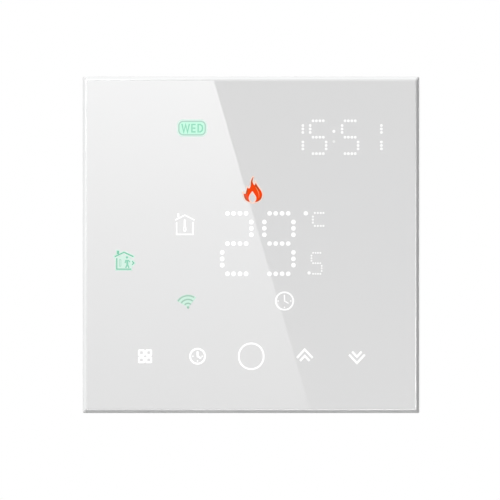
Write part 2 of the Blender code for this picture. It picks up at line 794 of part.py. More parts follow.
def make_supply_parts():
    """The parts of the supply that stand on the power board."""
    made = []
    core_low = Vector((9.2 * MM, 10.0 * MM, 12.4 * MM))
    core_size = Vector((13.6 * MM, 12.0 * MM, 5.0 * MM))
    core = boxes("transformer_core", [(core_low, core_low + core_size)])
    centre = core_low + core_size / 2
    leg, window = 2.0 * MM, 2.9 * MM
    window_half = 3.6 * MM
    windows = []
    for side in (-1, 1):
        x_low, x_high = sorted((centre.x + side * leg, centre.x + side * (leg + window)))
        low = (x_low, centre.y - window_half, centre.z - core_size.z)
        windows.append((low, (x_high, centre.y + window_half, centre.z + core_size.z)))
    cut(core, boxes("core_windows", windows))
    made.append(finish(core, BLACK, 0.5))

    coil_x, coil_z, coil_half = 4.6 * MM, 5.8 * MM, window_half - GAP
    low = (centre.x - coil_x, centre.y - coil_half, centre.z - coil_z)
    high = (centre.x + coil_x, centre.y + coil_half, centre.z + coil_z)
    winding = plate("transformer_winding", low, high, 1.5 * MM, 2)
    bore_x, bore_z = leg + GAP, core_size.z / 2 + GAP
    bore_low = (centre.x - bore_x, centre.y - core_size.y, centre.z - bore_z)
    bore_high = (centre.x + bore_x, centre.y + core_size.y, centre.z + bore_z)
    cut(winding, boxes("winding_bore", [(bore_low, bore_high)]))
    made.append(finish(winding, (0.75, 0.5, 0.1), 0.5))

    # Each can: centre x, centre z, radius, height.
    cans = (
        (-16.0 * MM, 2.0 * MM, 4.0 * MM, 12.0 * MM),
        (-5.5 * MM, 2.0 * MM, 3.15 * MM, 11.0 * MM),
    )
    for number, (x, z, radius, height) in enumerate(cans, start=1):
        groove = 0.4 * MM
        profile = [
            (0.0, height),
            (0.9 * radius, height),
            (radius, height - groove),
            (radius, 3.0 * groove + groove),
            (radius - groove, 3.0 * groove),
            (radius, 2.0 * groove),
            (radius, 0.0),
            (0.0, 0.0),
        ]
        can = turned(f"capacitor_{number}", profile, (x, PARTS_START, z), TO_BACK, 16)
        made.append(finish(can, (0.05, 0.05, 0.08), 0.35))

    film_low = (-21.0 * MM, PARTS_START, -9.2 * MM)
    film = plate("film_capacitor", film_low, (-8.0 * MM, 20.5 * MM, -3.2 * MM), 0.8 * MM, 2)
    made.append(finish(film, (0.75, 0.6, 0.05), 0.5))

    disc_radius, disc_half = 4.5 * MM, 1.8 * MM
    edge = 0.8 * MM
    profile = [
        (0.0, disc_half),
        (disc_radius - edge, disc_half),
        (disc_radius, disc_half - edge),
        (disc_radius, edge - disc_half),
        (disc_radius - edge, -disc_half),
        (0.0, -disc_half),
    ]
    place = (0.0, PARTS_START + disc_radius, -6.4 * MM)
    made.append(finish(turned("varistor", profile, place, UPRIGHT, 18), (0.02, 0.1, 0.3), 0.4))

    fuse_low = (9.0 * MM, PARTS_START, -8.4 * MM)
    fuse = plate("fuse", fuse_low, (17.4 * MM, 17.5 * MM, -4.4 * MM), 0.5 * MM)
    made.append(finish(fuse, BLACK, 0.4))
    return made


def make_relay():
    """A relay whose armature swings on the yoke's back edge, towards the core."""
    case = tray(
        "relay_case",
        (RELAY_X[0], PARTS_START + GAP, RELAY_Z[0]),
        (RELAY_X[1], RELAY_BACK, RELAY_Z[1]),
        -1,
        RELAY_WALL,
        1.0 * MM,
        2,
    )
    inset = RELAY_WALL + GAP
    base_low = (RELAY_X[0] + inset, PARTS_START + GAP, RELAY_Z[0] + inset)
    base_high = (RELAY_X[1] - inset, PARTS_START + GAP + 1.6 * MM, RELAY_Z[1] - inset)
    base = boxes("relay_base", [(base_low, base_high)])

    half = 4.0 * MM
    low_z, high_z = RELAY_MID_Z - half, RELAY_MID_Z + half
    yoke_foot = 0.9 * MM
    foot_low = (CORE_X - 2.5 * MM, YOKE_FRONT, low_z)
    yoke = boxes("relay_yoke", [(foot_low, (YOKE_X[1], YOKE_FRONT + yoke_foot, high_z))])
    upright_low = (YOKE_X[0], YOKE_FRONT + yoke_foot / 2, low_z)
    join(yoke, boxes("yoke_upright", [(upright_low, (YOKE_X[1], YOKE_BACK, high_z))]))
    core_radius, face_radius, core_back = 1.3 * MM, 1.9 * MM, 22.5 * MM
    place = [(CORE_X, RELAY_MID_Z)]
    join(yoke, rods("yoke_core", place, core_radius, YOKE_FRONT + yoke_foot / 2, core_back, 12))
    join(yoke, rods("core_face", place, face_radius, core_back - 0.5 * MM, core_back, 12))

    spool_front, spool_back = YOKE_FRONT + yoke_foot + GAP, core_back - 0.5 * MM - GAP
    length = spool_back - spool_front
    flange, bore = 0.8 * MM, core_radius + GAP
    wound, rim = 3.9 * MM, 4.4 * MM
    profile = [
        (bore, length),
        (rim, length),
        (rim, length - flange),
        (wound, length - flange),
        (wound, flange),
        (rim, flange),
        (rim, 0.0),
        (bore, 0.0),
        (bore, length),
    ]
    coil = turned("relay_coil", profile, (CORE_X, spool_front, RELAY_MID_Z), TO_BACK, 18)

    pivot = Vector(ARMATURE_PIVOT)
    leaf_front, leaf_back = 0.0, 0.8 * MM
    rise = ARMATURE_FRONT - pivot.y
    reach, tail, half_width = 9.4 * MM, 0.2 * MM, 3.8 * MM
    armature = boxes(
        "relay_armature",
        [((-reach, rise + leaf_front, -half_width), (tail, rise + leaf_back, half_width))],
    )
    blade_half, blade_reach = 1.6 * MM, 6.0 * MM
    blade_low = (-1.0 * MM, rise + 0.3 * MM, -blade_half)
    blade = boxes("contact_blade", [(blade_low, (blade_reach, rise + 0.6 * MM, blade_half))])
    join(armature, blade)
    for piece in (armature, blade):
        piece.location = pivot
    return [
        finish(case, (0.02, 0.06, 0.2), 0.35),
        finish(base, BLACK, 0.5),
        finish(yoke, STEEL, 0.35, 1.0),
        finish(coil, (0.6, 0.25, 0.08), 0.4),
        finish(armature, STEEL, 0.35, 1.0),
    ]


# ---- Wire terminals ----


def contact_leg_z():
    """The span along Z of the leg that joins each contact to the power board."""
    low = CAVITY_Z[1] + 0.5 * MM
    return low, low + CONTACT_THICK


def make_terminal_block():
    half = POLE_COUNT * POLE_PITCH / 2
    low, high = (-half, PARTS_START, BLOCK_BOTTOM), (half, BLOCK_BACK, BLOCK_TOP)
    block = boxes("terminal_block", [(low, high)])
    xs = spread(POLE_COUNT, POLE_PITCH)

    def slots(name, half_x, y_span, z_span):
        cutters = [
            ((x - half_x, y_span[0], z_span[0]), (x + half_x, y_span[1], z_span[1])) for x in xs
        ]
        cut(block, boxes(name, cutters))

    slots("cavities", CAVITY_HALF, (CAVITY_FRONT, CAVITY_BACK), CAVITY_Z)
    entry_y = (CLAMP_FRONT + CLAMP_WALL, CONTACT_FRONT)
    slots("wire_entries", 2.0 * MM, entry_y, (BLOCK_BOTTOM - PAST, CAVITY_Z[0] + PAST))
    leg_low, leg_high = contact_leg_z()
    room = 0.25 * MM
    channel_back = CONTACT_FRONT + CONTACT_THICK + room
    channel_z = (CAVITY_Z[1] - 0.2 * MM, leg_high + room)
    slots("leg_channels", CONTACT_HALF + room, (PARTS_START - PAST, channel_back), channel_z)
    centres = [(x, POLE_Z) for x in xs]
    cut(block, rods("head_holes", centres, 2.2 * MM, SCREW_SEAT, BLOCK_BACK + PAST, 16))
    cut(block, rods("shank_holes", centres, 1.65 * MM, CAVITY_BACK - PAST, SCREW_SEAT + PAST, 12))
    return [finish(block, (0.05, 0.2, 0.1), 0.45)]


def make_terminal_contacts():
    """A strip inside each clamp, with a leg to the power board."""
    first_x = spread(POLE_COUNT, POLE_PITCH)[0]
    leg_low, leg_high = contact_leg_z()
    back = CONTACT_FRONT + CONTACT_THICK
    strip_low = (-CONTACT_HALF, CONTACT_FRONT, CAVITY_Z[0] + 0.4 * MM)
    strip = boxes("terminal_contact", [(strip_low, (CONTACT_HALF, back, leg_high))])
    leg_front = POWER_BOARD_FRONT - 0.8 * MM
    leg = ((-CONTACT_HALF, leg_front, leg_low), (CONTACT_HALF, back - 0.2 * MM, leg_high))
    join(strip, boxes("contact_leg", [leg]))
    strip = as_mesh(strip)
    strip.location = (first_x, 0.0, 0.0)
    finish(strip, BRASS, 0.35, 1.0)
    return copies(strip, [(x, 0.0, 0.0) for x in spread(POLE_COUNT, POLE_PITCH)])


def make_terminal_clamps():
    """Cages that rise along their screws and press the wire against the contact."""
    half_x, half_z = CAVITY_HALF - GAP, 3.3 * MM
    back_wall = 1.0 * MM
    cage = boxes("terminal_clamp", [((-half_x, 0.0, -half_z), (half_x, CLAMP_HEIGHT, half_z))])
    inner = half_x - 0.7 * MM
    through_low = (-inner, CLAMP_WALL, -2 * half_z)
    through = boxes("clamp_mouth", [(through_low, (inner, CLAMP_HEIGHT - back_wall, 2 * half_z))])
    cut(cage, through)
    thread = rods("clamp_thread", [(0.0, 0.0)], 1.6 * MM, CLAMP_HEIGHT / 2, CLAMP_HEIGHT * 2, 12)
    cut(cage, thread)
    cage = as_mesh(cage)
    places = [(x, CLAMP_FRONT, POLE_Z) for x in spread(POLE_COUNT, POLE_PITCH)]
    cage.location = places[0]
    finish(cage, STEEL, 0.35, 1.0)
    return copies(cage, places)


def make_terminal_screws():
    """Slotted screws that stay in place while their clamps rise and fall."""
    head_radius, head_height = 1.95 * MM, 1.8 * MM
    shank_radius, shank_end = 1.4 * MM, CONTACT_FRONT + CONTACT_THICK + 0.6 * MM
    seat = SCREW_SEAT + 0.2 * MM
    profile = [
        (0.0, head_height),
        (0.9 * head_radius, head_height),
        (head_radius, 0.85 * head_height),
        (head_radius, 0.0),
        (shank_radius, 0.0),
        (shank_radius, shank_end - seat),
        (0.0, shank_end - seat),
    ]
    screw = turned("terminal_screw", profile, (0.0, 0.0, 0.0), UPRIGHT, 14)
    slot_half, slot_depth = 0.3 * MM, 0.8 * MM
    slot_low = (-2 * head_radius, -slot_half, head_height - slot_depth)
    slot = boxes("screw_slot", [(slot_low, (2 * head_radius, slot_half, 2 * head_height))])
    cut(screw, slot)
    screw = as_mesh(screw)
    places = [(x, seat, POLE_Z) for x in spread(POLE_COUNT, POLE_PITCH)]
    screw.location = places[0]
    screw.rotation_euler = TO_BACK
    finish(screw, STEEL, 0.3, 1.0)
    return copies(screw, places)


# ---- Assembly ----


def hold(name, pieces):
    """Parent the pieces to an empty at the origin."""
    unit = add_object(name, None)
    for piece in pieces:
        piece.parent = unit
    return unit


def main():
    display = make_glass_panel() + make_glued_layers() + make_light_mask()
    display += make_front_frame() + make_display_board() + make_wifi_module()
    display += make_touch_springs() + make_room_sensor() + make_board_header()
    display += make_inner_cover() + make_cover_screws()
    base = make_mounting_plate() + make_mounting_screws() + make_base_housing()
    base += make_housing_screws() + make_base_cover() + make_power_board()
    base += make_header_socket() + make_supply_parts() + make_relay()
    base += make_terminal_block() + make_terminal_contacts()
    base += make_terminal_clamps() + make_terminal_screws()
    hold("display_unit", display)
    hold("base_unit", base)


for startup_object in list(bpy.data.objects):
    bpy.data.objects.remove(startup_object)
PARTS = new_collection("wall_thermostat")
HELPERS = new_collection("cutters_and_joins")
main()
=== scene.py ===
"""Looks of a flush wall thermostat: a white glass front with lit signs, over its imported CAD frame.

Lengths are in metres. x runs to the right of the glass, z up, and the front faces -y.
"""

import functools
import json
import math

import bmesh
import bpy
from mathutils import Matrix, Vector

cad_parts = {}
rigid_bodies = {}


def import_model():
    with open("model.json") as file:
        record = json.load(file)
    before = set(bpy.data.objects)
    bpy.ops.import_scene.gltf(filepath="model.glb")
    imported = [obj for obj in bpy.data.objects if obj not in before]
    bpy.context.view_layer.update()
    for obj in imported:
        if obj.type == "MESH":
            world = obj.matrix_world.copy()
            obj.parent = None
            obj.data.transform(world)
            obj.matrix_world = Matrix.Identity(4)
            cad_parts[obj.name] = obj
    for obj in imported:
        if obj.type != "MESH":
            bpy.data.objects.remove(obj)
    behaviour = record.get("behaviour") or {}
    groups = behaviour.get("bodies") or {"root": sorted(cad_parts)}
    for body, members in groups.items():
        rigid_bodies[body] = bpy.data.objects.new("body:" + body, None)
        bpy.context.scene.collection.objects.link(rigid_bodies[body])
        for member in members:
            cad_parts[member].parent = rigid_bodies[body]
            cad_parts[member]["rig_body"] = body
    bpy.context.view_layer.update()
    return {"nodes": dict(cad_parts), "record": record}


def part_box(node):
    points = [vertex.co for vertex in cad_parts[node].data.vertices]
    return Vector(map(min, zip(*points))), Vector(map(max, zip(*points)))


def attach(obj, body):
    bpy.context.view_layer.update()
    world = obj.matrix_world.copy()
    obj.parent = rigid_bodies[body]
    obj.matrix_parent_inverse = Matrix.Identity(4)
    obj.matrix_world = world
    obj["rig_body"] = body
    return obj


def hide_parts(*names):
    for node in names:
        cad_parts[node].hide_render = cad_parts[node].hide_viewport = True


MM = 0.001


# ---------------------------------------------------------------- frame

def clear_scene():
    for leftover in list(bpy.data.objects):
        bpy.data.objects.remove(leftover)


clear_scene()
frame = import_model()
glass_low, glass_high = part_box("glass_panel")
FRONT = glass_low.y


# ---------------------------------------------------------------- materials

FULL_WHITE = (1, 1, 1, 1)


def linear(red, green, blue):
    """A colour given as 0 to 255 on the screen, as linear light."""
    def channel(value):
        value /= 255
        return value / 12.92 if value <= 0.04045 else ((value + 0.055) / 1.055) ** 2.4
    return channel(red), channel(green), channel(blue), 1.0


class Material:
    """A Principled material with procedural layers. Sockets are named with _ for a space."""

    def __init__(self, name, color, roughness=0.5, metallic=0.0, **sockets):
        self.made = bpy.data.materials.new(name)
        self.made.use_nodes = True
        self.tree = self.made.node_tree
        self.shader = self.tree.nodes["Principled BSDF"]
        self.shader.inputs["Base Color"].default_value = color
        self.shader.inputs["Roughness"].default_value = roughness
        self.shader.inputs["Metallic"].default_value = metallic
        for socket, value in sockets.items():
            self.shader.inputs[socket.replace("_", " ")].default_value = value
        self.place = self.tree.nodes.new("ShaderNodeTexCoord").outputs["Object"]
        self.last_normal = None

    def node(self, kind, **settings):
        made = self.tree.nodes.new(kind)
        for key, value in settings.items():
            setattr(made, key, value)
        return made

    def link(self, source, target):
        self.tree.links.new(source, target)

    def noise(self, size, detail=3.0, stretch=(1, 1, 1)):
        """Noise whose blobs are size metres across, drawn out along an axis by stretch."""
        mapping = self.node("ShaderNodeMapping")
        mapping.inputs["Scale"].default_value = [1 / s for s in stretch]
        self.link(self.place, mapping.inputs["Vector"])
        noise = self.node("ShaderNodeTexNoise")
        noise.inputs["Scale"].default_value = 1 / size
        noise.inputs["Detail"].default_value = detail
        self.link(mapping.outputs["Vector"], noise.inputs["Vector"])
        return noise.outputs["Fac"]

    def cells(self, size):
        """The distance from the middle of each cell, for cells about size metres across."""
        cells = self.node("ShaderNodeTexVoronoi")
        cells.inputs["Scale"].default_value = 1 / size
        self.link(self.place, cells.inputs["Vector"])
        return cells.outputs["Distance"]

    def mapped(self, value, low, high, to_low, to_high):
        """Stretches the span from low to high to the other span, and cuts off what is beyond."""
        ranged = self.node("ShaderNodeMapRange")
        for socket, number in zip(("From Min", "From Max", "To Min", "To Max"),
                                  (low, high, to_low, to_high)):
            ranged.inputs[socket].default_value = number
        self.link(value, ranged.inputs["Value"])
        return ranged.outputs["Result"]

    def tinted(self, factor, other):
        """Mixes another colour in by a factor, over what the base colour is already."""
        mix = self.node("ShaderNodeMix", data_type="RGBA")
        before = self.shader.inputs["Base Color"]
        if before.is_linked:
            self.link(before.links[0].from_socket, mix.inputs["A"])
        else:
            mix.inputs["A"].default_value = before.default_value
        mix.inputs["B"].default_value = other
        self.link(factor, mix.inputs["Factor"])
        self.link(mix.outputs["Result"], before)
        return self

    def roughened(self, value, low, high):
        """Lets the roughness wander between two values with the middle of a noise's range."""
        self.link(self.mapped(value, 0.3, 0.7, low, high), self.shader.inputs["Roughness"])
        return self

    def bumped(self, value, depth):
        """Relief of depth metres, on top of any relief before it."""
        bump = self.node("ShaderNodeBump")
        bump.inputs["Distance"].default_value = depth
        bump.inputs["Strength"].default_value = 1.0
        self.link(value, bump.inputs["Height"])
        if self.last_normal is not None:
            self.link(self.last_normal, bump.inputs["Normal"])
        self.last_normal = bump.outputs["Normal"]
        self.link(self.last_normal, self.shader.inputs["Normal"])
        return self


def tone(color, factor):
    """A colour made darker by a factor."""
    return tuple(channel * factor for channel in color[:3]) + (1.0,)


def moulded_plastic(name, color, roughness=0.5, grain=0.25 * MM, relief=0.012 * MM):
    """Moulded plastic: a fine spark-eroded grain and slow changes of tone."""
    made = Material(name, color, roughness)
    made.tinted(made.mapped(made.noise(14 * MM), 0.35, 0.7, 0, 1), tone(color, 0.93))
    made.roughened(made.noise(5 * MM), roughness - 0.06, roughness + 0.08)
    made.bumped(made.noise(grain, detail=4), relief)
    return made.made


def glossy_plastic(name, color, roughness=0.22):
    """Dipped or shrunk plastic: smooth, with a slight waviness."""
    made = Material(name, color, roughness)
    made.tinted(made.mapped(made.noise(8 * MM), 0.35, 0.7, 0, 1), tone(color, 0.92))
    made.roughened(made.noise(2 * MM), roughness - 0.05, roughness + 0.08)
    made.bumped(made.noise(3 * MM, detail=2), 0.02 * MM)
    return made.made


def plated_metal(name, color, roughness=0.3, crystal=1.6 * MM, grain=(1, 1, 1)):
    """Rolled and plated sheet: faint crystals, rolling lines and uneven sheen."""
    made = Material(name, color, roughness, metallic=1.0)
    made.tinted(made.mapped(made.cells(crystal), 0.1, 0.7, 0, 1), tone(color, 0.86))
    made.tinted(made.mapped(made.noise(9 * MM), 0.45, 0.75, 0, 1), tone(color, 0.74))
    made.roughened(made.noise(0.5 * MM, stretch=grain), roughness - 0.1, roughness + 0.14)
    made.bumped(made.noise(0.12 * MM, stretch=grain, detail=4), 0.004 * MM)
    return made.made


# Rolling lines: noise drawn out along x.
LINES_ALONG_X = (14, 1, 1)

# The front of the glass: a nearly perfect polish, with a faint roll-wave over it.
GLASS_IOR = 1.5
POLISH = 0.008
ROLL_WAVE, ROLL_DEPTH = 18 * MM, 0.004 * MM


def back_enamel():
    """White enamel on the back of the glass, seen through its polished front."""
    made = Material("white_back_enamel", (0.80, 0.80, 0.80, 1), 0.30, Coat_Weight=1.0,
                    Coat_Roughness=POLISH, Coat_IOR=GLASS_IOR, Specular_IOR_Level=0.0)
    made.tinted(made.mapped(made.noise(30 * MM), 0.4, 0.7, 0, 1), (0.796, 0.797, 0.80, 1))
    made.bumped(made.noise(ROLL_WAVE, detail=1), ROLL_DEPTH)
    return made.made


def ground_edge():
    """Finely ground glass, for the chamfer and the sides of the plate."""
    made = Material("ground_glass_edge", (0.835, 0.84, 0.84, 1), 0.16, Coat_Weight=0.6,
                    Coat_Roughness=0.05, Coat_IOR=GLASS_IOR, Specular_IOR_Level=0.35)
    made.tinted(made.mapped(made.noise(6 * MM, stretch=(4, 1, 4)), 0.4, 0.7, 0, 1),
                (0.81, 0.82, 0.82, 1))
    made.bumped(made.noise(0.35 * MM, stretch=(3, 1, 3)), 0.006 * MM)
    return made.made


def polished_arris():
    """The rounded corner between two ground faces, which catches the light."""
    made = Material("polished_arris", (0.80, 0.80, 0.80, 1), 0.07, Coat_Weight=1.0,
                    Coat_Roughness=0.03, Coat_IOR=1.9, Specular_IOR_Level=0.8)
    made.roughened(made.noise(2 * MM), 0.05, 0.1)
    made.bumped(made.noise(0.8 * MM), 0.002 * MM)
    return made.made


def lit(name, color, strength=1.0, body=(0.004, 0.004, 0.004, 1), coat=1.0):
    """A window in the enamel with a lamp behind it, under the same smooth glass."""
    made = Material(name, body, 0.3, Coat_Weight=coat, Coat_Roughness=POLISH,
                    Coat_IOR=GLASS_IOR, Specular_IOR_Level=0.0, Emission_Color=color,
                    Emission_Strength=strength)
    made.bumped(made.noise(ROLL_WAVE, detail=1), ROLL_DEPTH)
    return made.made


def seen(red, green, blue, veil):
    """The light a sign gives off, so that it has this colour under the glare that veils it."""
    return tuple(max(0.0, part - veil) for part in linear(red, green, blue)[:3]) + (1.0,)


# The glare over the signs at the top, half-way down and near the foot, and the little on the flame.
GLARE_HIGH, GLARE_MIDDLE, GLARE_LOW, GLARE_FLAME = 0.18, 0.13, 0.09, 0.004
PALE_BODY = (0.8, 0.8, 0.8, 1)
white_sign = lit("lit_white", FULL_WHITE, 0.38, PALE_BODY)
dim_sign = lit("lit_white_dim", FULL_WHITE, 0.16, PALE_BODY)
day_halo = lit("lit_day_halo", seen(228, 249, 240, GLARE_HIGH))
day_window = lit("lit_day_window", seen(203, 254, 231, GLARE_HIGH))
day_line = lit("lit_day_line", seen(182, 220, 204, GLARE_HIGH))
day_letter = lit("lit_day_letter", seen(158, 226, 196, GLARE_HIGH))
away_halo = lit("lit_away_halo", seen(221, 249, 236, GLARE_MIDDLE))
away_line = lit("lit_away_line", seen(138, 208, 179, GLARE_MIDDLE))
away_pale = lit("lit_away_pale", seen(180, 224, 204, GLARE_MIDDLE))
away_figure = lit("lit_away_figure", seen(154, 220, 193, GLARE_MIDDLE))
wireless_halo = lit("lit_wireless_halo", seen(211, 243, 227, GLARE_LOW))
wireless_line = lit("lit_wireless_line", seen(172, 208, 190, GLARE_LOW))


def flame_light(name, red, green, blue):
    """The flame's lamp shines through a darker window, which reflects less."""
    return lit(name, seen(red, green, blue, GLARE_FLAME), 1.0, (0.001, 0.001, 0.001, 1), 0.25)


flame_halo = flame_light("lit_flame_halo", 250, 218, 204)
flame_orange = flame_light("lit_flame_orange", 244, 72, 20)
flame_ember = flame_light("lit_flame_ember", 190, 80, 40)
flame_spark = flame_light("lit_flame_spark", 255, 138, 92)

# ---------------------------------------------------------------- mesh helpers


def named(name, mesh, body, material, replaced=()):
    """A piece that rides on a body, with one material or a list of them."""
    obj = bpy.data.objects.new(name, mesh)
    bpy.context.scene.collection.objects.link(obj)
    for item in material if isinstance(material, (list, tuple)) else [material]:
        obj.data.materials.append(item)
    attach(obj, body)
    if replaced:
        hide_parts(*replaced)
    return obj


def mesh_of(bm, name):
    mesh = bpy.data.meshes.new(name)
    bm.to_mesh(mesh)
    bm.free()
    return mesh


def smooth(mesh, angle=35):
    """Shades a mesh smooth, except at edges sharper than an angle in degrees."""
    mesh.shade_smooth()
    mesh.set_sharp_from_angle(angle=math.radians(angle))


# ---------------------------------------------------------------- glass panel

CHAMFER = 0.9 * MM
ARRIS = 0.17 * MM


def glass_mesh():
    """A plate with ground edges: a wide chamfer in front, and every arris rounded."""
    bm = bmesh.new()
    size = glass_high - glass_low
    middle = (glass_high + glass_low) / 2
    bmesh.ops.create_cube(bm, size=1, matrix=Matrix.Translation(middle) @ Matrix.Diagonal(
        (size.x, size.y, size.z, 1)))
    front = [e for e in bm.edges if all(v.co.y < middle.y for v in e.verts)]
    bmesh.ops.bevel(bm, geom=front, offset=CHAMFER, segments=1, affect="EDGES",
                    clamp_overlap=True)
    for f in bm.faces:
        f.material_index = 0 if abs(f.normal.y) > 0.99 else 1
    bmesh.ops.bevel(bm, geom=list(bm.edges), offset=ARRIS, segments=3, affect="EDGES",
                    clamp_overlap=True, material=2)
    mesh = mesh_of(bm, "glass_plate")
    smooth(mesh, 30)
    return mesh


named("glass_plate", glass_mesh(), "display", [back_enamel(), ground_edge(), polished_arris()],
      ["glass_panel"])

# ---------------------------------------------------------------- signs

# How far a sign stands out of the glass and into it, and how far one layer of it lies on another.
PROUD = 0.012 * MM
SUNK = 0.06 * MM
LAYER = 0.004 * MM
UPRIGHT = Matrix.Rotation(math.pi / 2, 4, "X")
# Points of a curve's mesh nearer than this, in metres, are joined.
WELD = 1e-7
# A mitre is never longer than half the stroke's width over this.
LEAST_SPREAD = 0.35

# Outlines are lists of points in millimetres (x, z) from the middle of the glass.


def disc(x, z, diameter, points=20):
    """A round outline."""
    return [(x + diameter / 2 * math.cos(2 * math.pi * i / points),
             z + diameter / 2 * math.sin(2 * math.pi * i / points)) for i in range(points)]


def rounded(x, z, width, height, radius, points=6):
    """A box with round corners, each of so many short sides."""
    loop = []
    for turn, (sx, sz) in enumerate(((1, 1), (-1, 1), (-1, -1), (1, -1))):
        cx, cz = x + sx * (width / 2 - radius), z + sz * (height / 2 - radius)
        for i in range(points + 1):
            angle = math.pi / 2 * (turn + i / points)
            loop.append((cx + radius * math.cos(angle), cz + radius * math.sin(angle)))
    return loop


def arc(x, z, radius, start, stop, width, points=24):
    """A bent bar round a centre, from one angle to the other, clockwise from straight up."""
    loop = []
    for r, order in ((radius + width / 2, range(points + 1)),
                     (radius - width / 2, range(points, -1, -1))):
        for i in order:
            angle = math.radians(start + (stop - start) * i / points)
            loop.append((x + r * math.sin(angle), z + r * math.cos(angle)))
    return loop


def stroke(points, width):
    """The outline of an open line of straight pieces, with mitred corners and square ends."""
    def side(sign):
        found = []
        for i, p in enumerate(points):
            p = Vector(p)
            before = (p - Vector(points[i - 1])).normalized() if i else None
            after = (Vector(points[i + 1]) - p).normalized() if i < len(points) - 1 else None
            along = (before or after) + (after or before)
            along.normalize()
            normal = Vector((-along.y, along.x))
            flat = before or after
            spread = max(LEAST_SPREAD, normal.dot(Vector((-flat.y, flat.x))))
            found.append(tuple(p + normal * sign * width / 2 / spread))
        return found
    return side(1) + side(-1)[::-1]


def eased(points):
    """A closed outline with each corner cut off once."""
    cut = []
    for i, here in enumerate(points):
        after = points[(i + 1) % len(points)]
        cut.append(tuple(a * 0.75 + b * 0.25 for a, b in zip(here, after)))
        cut.append(tuple(a * 0.25 + b * 0.75 for a, b in zip(here, after)))
    return cut


def outline_area(points):
    return abs(sum(x * points[i - 1][1] - points[i - 1][0] * z
                   for i, (x, z) in enumerate(points))) / 2


def outline_curve(name, loops, thickness):
    """Outlines as one filled curve, where a loop inside another is a hole. None may touch."""
    curve = bpy.data.curves.new(name, "CURVE")
    curve.dimensions = "2D"
    curve.fill_mode = "BOTH"
    curve.extrude = thickness / 2
    for loop in loops:
        spline = curve.splines.new("POLY")
        spline.points.add(len(loop) - 1)
        for point, (x, z) in zip(spline.points, loop):
            point.co = (x * MM, z * MM, 0, 1)
        spline.use_cyclic_u = True
    return curve


def mesh_from_curve(name, curve, stand):
    """The closed mesh of a curve, put in its place by a matrix."""
    helper = bpy.data.objects.new(name + "_outline", curve)
    bpy.context.scene.collection.objects.link(helper)
    graph = bpy.context.evaluated_depsgraph_get()
    mesh = bpy.data.meshes.new_from_object(helper.evaluated_get(graph))
    bpy.data.objects.remove(helper)
    bm = bmesh.new()
    bm.from_mesh(mesh)
    bmesh.ops.remove_doubles(bm, verts=bm.verts, dist=WELD)
    bmesh.ops.recalc_face_normals(bm, faces=bm.faces)
    bm.to_mesh(mesh)
    bm.free()
    mesh.materials.clear()
    mesh.transform(stand)
    mesh.name = name
    return mesh


def lit_sign(name, loops, material, lift=0.0):
    """Outlines made into a thin plate in the face of the glass."""
    thickness = PROUD + SUNK + lift
    stand = Matrix.Translation((0, FRONT - PROUD - lift + thickness / 2, 0)) @ UPRIGHT
    mesh = mesh_from_curve(name, outline_curve(name, loops, thickness), stand)
    named(name, mesh, "display", material)


# Where the dots of a figure lie along its rows, and down the upper and lower half of its columns.
ROW_PLACES = (0.18, 0.39, 0.61, 0.82)
COLUMN_PLACES = ((0.143, 0.248, 0.354), (0.646, 0.752, 0.857))
# The lit parts of a figure: a, g and d from the top down; f and e at the left, b and c right.
SEGMENTS = {"1": "bc", "2": "abged", "5": "afgcd", "9": "abcdfg"}


def digit(figure, left, top, width, height, dot):
    """The dots of one figure: three rows across and a column in two halves each side."""
    loops = []
    lit_parts = SEGMENTS[figure]
    for part, down in (("a", 0), ("g", 0.5), ("d", 1)):
        if part in lit_parts:
            loops += [disc(left + width * place, top - height * down, dot)
                      for place in ROW_PLACES]
    for part, side, half in (("f", 0, 0), ("b", 1, 0), ("e", 0, 1), ("c", 1, 1)):
        if part in lit_parts:
            loops += [disc(left + width * side, top - height * place, dot)
                      for place in COLUMN_PLACES[half]]
    return loops


def time_sign():
    """Four figures of small dots, with a colon whose lower dot is dimmer."""
    top, height, width, dot = 31.68, 8.38, 4.08, 0.67
    loops = []
    for figure, left in zip("1551", (9.17, 15.11, 23.27, 29.22)):
        loops += digit(figure, left, top, width, height, dot)
    lit_sign("sign_time", loops, white_sign)
    colon_x = 21.17
    lit_sign("sign_time_colon_top", [disc(colon_x, 29.0, 0.76)], white_sign)
    lit_sign("sign_time_colon_foot", [disc(colon_x, 26.4, 0.68)], dim_sign)


def temperature_sign():
    """Two large figures, the degree and its letter, and the tenths (a 5) after their point."""
    top, height, width, dot = 8.04, 15.43, 7.44, 1.16
    loops = []
    for figure, left in zip("29", (-7.36, 3.40)):
        loops += digit(figure, left, top, width, height, dot)
    lit_sign("sign_temperature", loops, white_sign)
    lit_sign("sign_degree", [disc(14.0, 8.05, 1.1)], white_sign)
    dot = 0.5
    letter = [disc(x, z, dot) for z in (8.15, 4.85) for x in (16.3, 17.05, 17.8, 18.5)]
    letter += [disc(15.8, z, dot) for z in (7.22, 6.47, 5.7)]
    lit_sign("sign_celsius", letter, white_sign)
    dot, pitch = 0.43, 0.62
    tenths = [disc(15.85 + pitch * i, z, dot) for z in (-2.04, -4.68, -7.39) for i in range(4)]
    tenths += [disc(15.45, z, dot) for z in (-2.74, -3.41, -4.05)]
    tenths += [disc(18.05, z, dot) for z in (-5.35, -5.98, -6.69)]
    lit_sign("sign_tenths", tenths, white_sign)
    lit_sign("sign_decimal", [disc(14.82, -7.18, 0.8)], white_sign)


def clock_loops(x, z, radius, ring, hand, long, short, mark, mark_radius):
    """A ring with its hands at four o'clock, and marks at three, six and nine."""
    loops = [disc(x, z, radius * 2, 40), disc(x, z, (radius - ring) * 2, 40)]
    four = math.radians(120)
    tip = (x + short * math.sin(four), z + short * math.cos(four))
    loops.append(stroke([(x, z + long), (x, z), tip], hand))
    for angle in (90, 180, 270):
        turned = math.radians(angle)
        loops.append(disc(x + mark_radius * math.sin(turned),
                          z + mark_radius * math.cos(turned), mark, 12))
    return loops


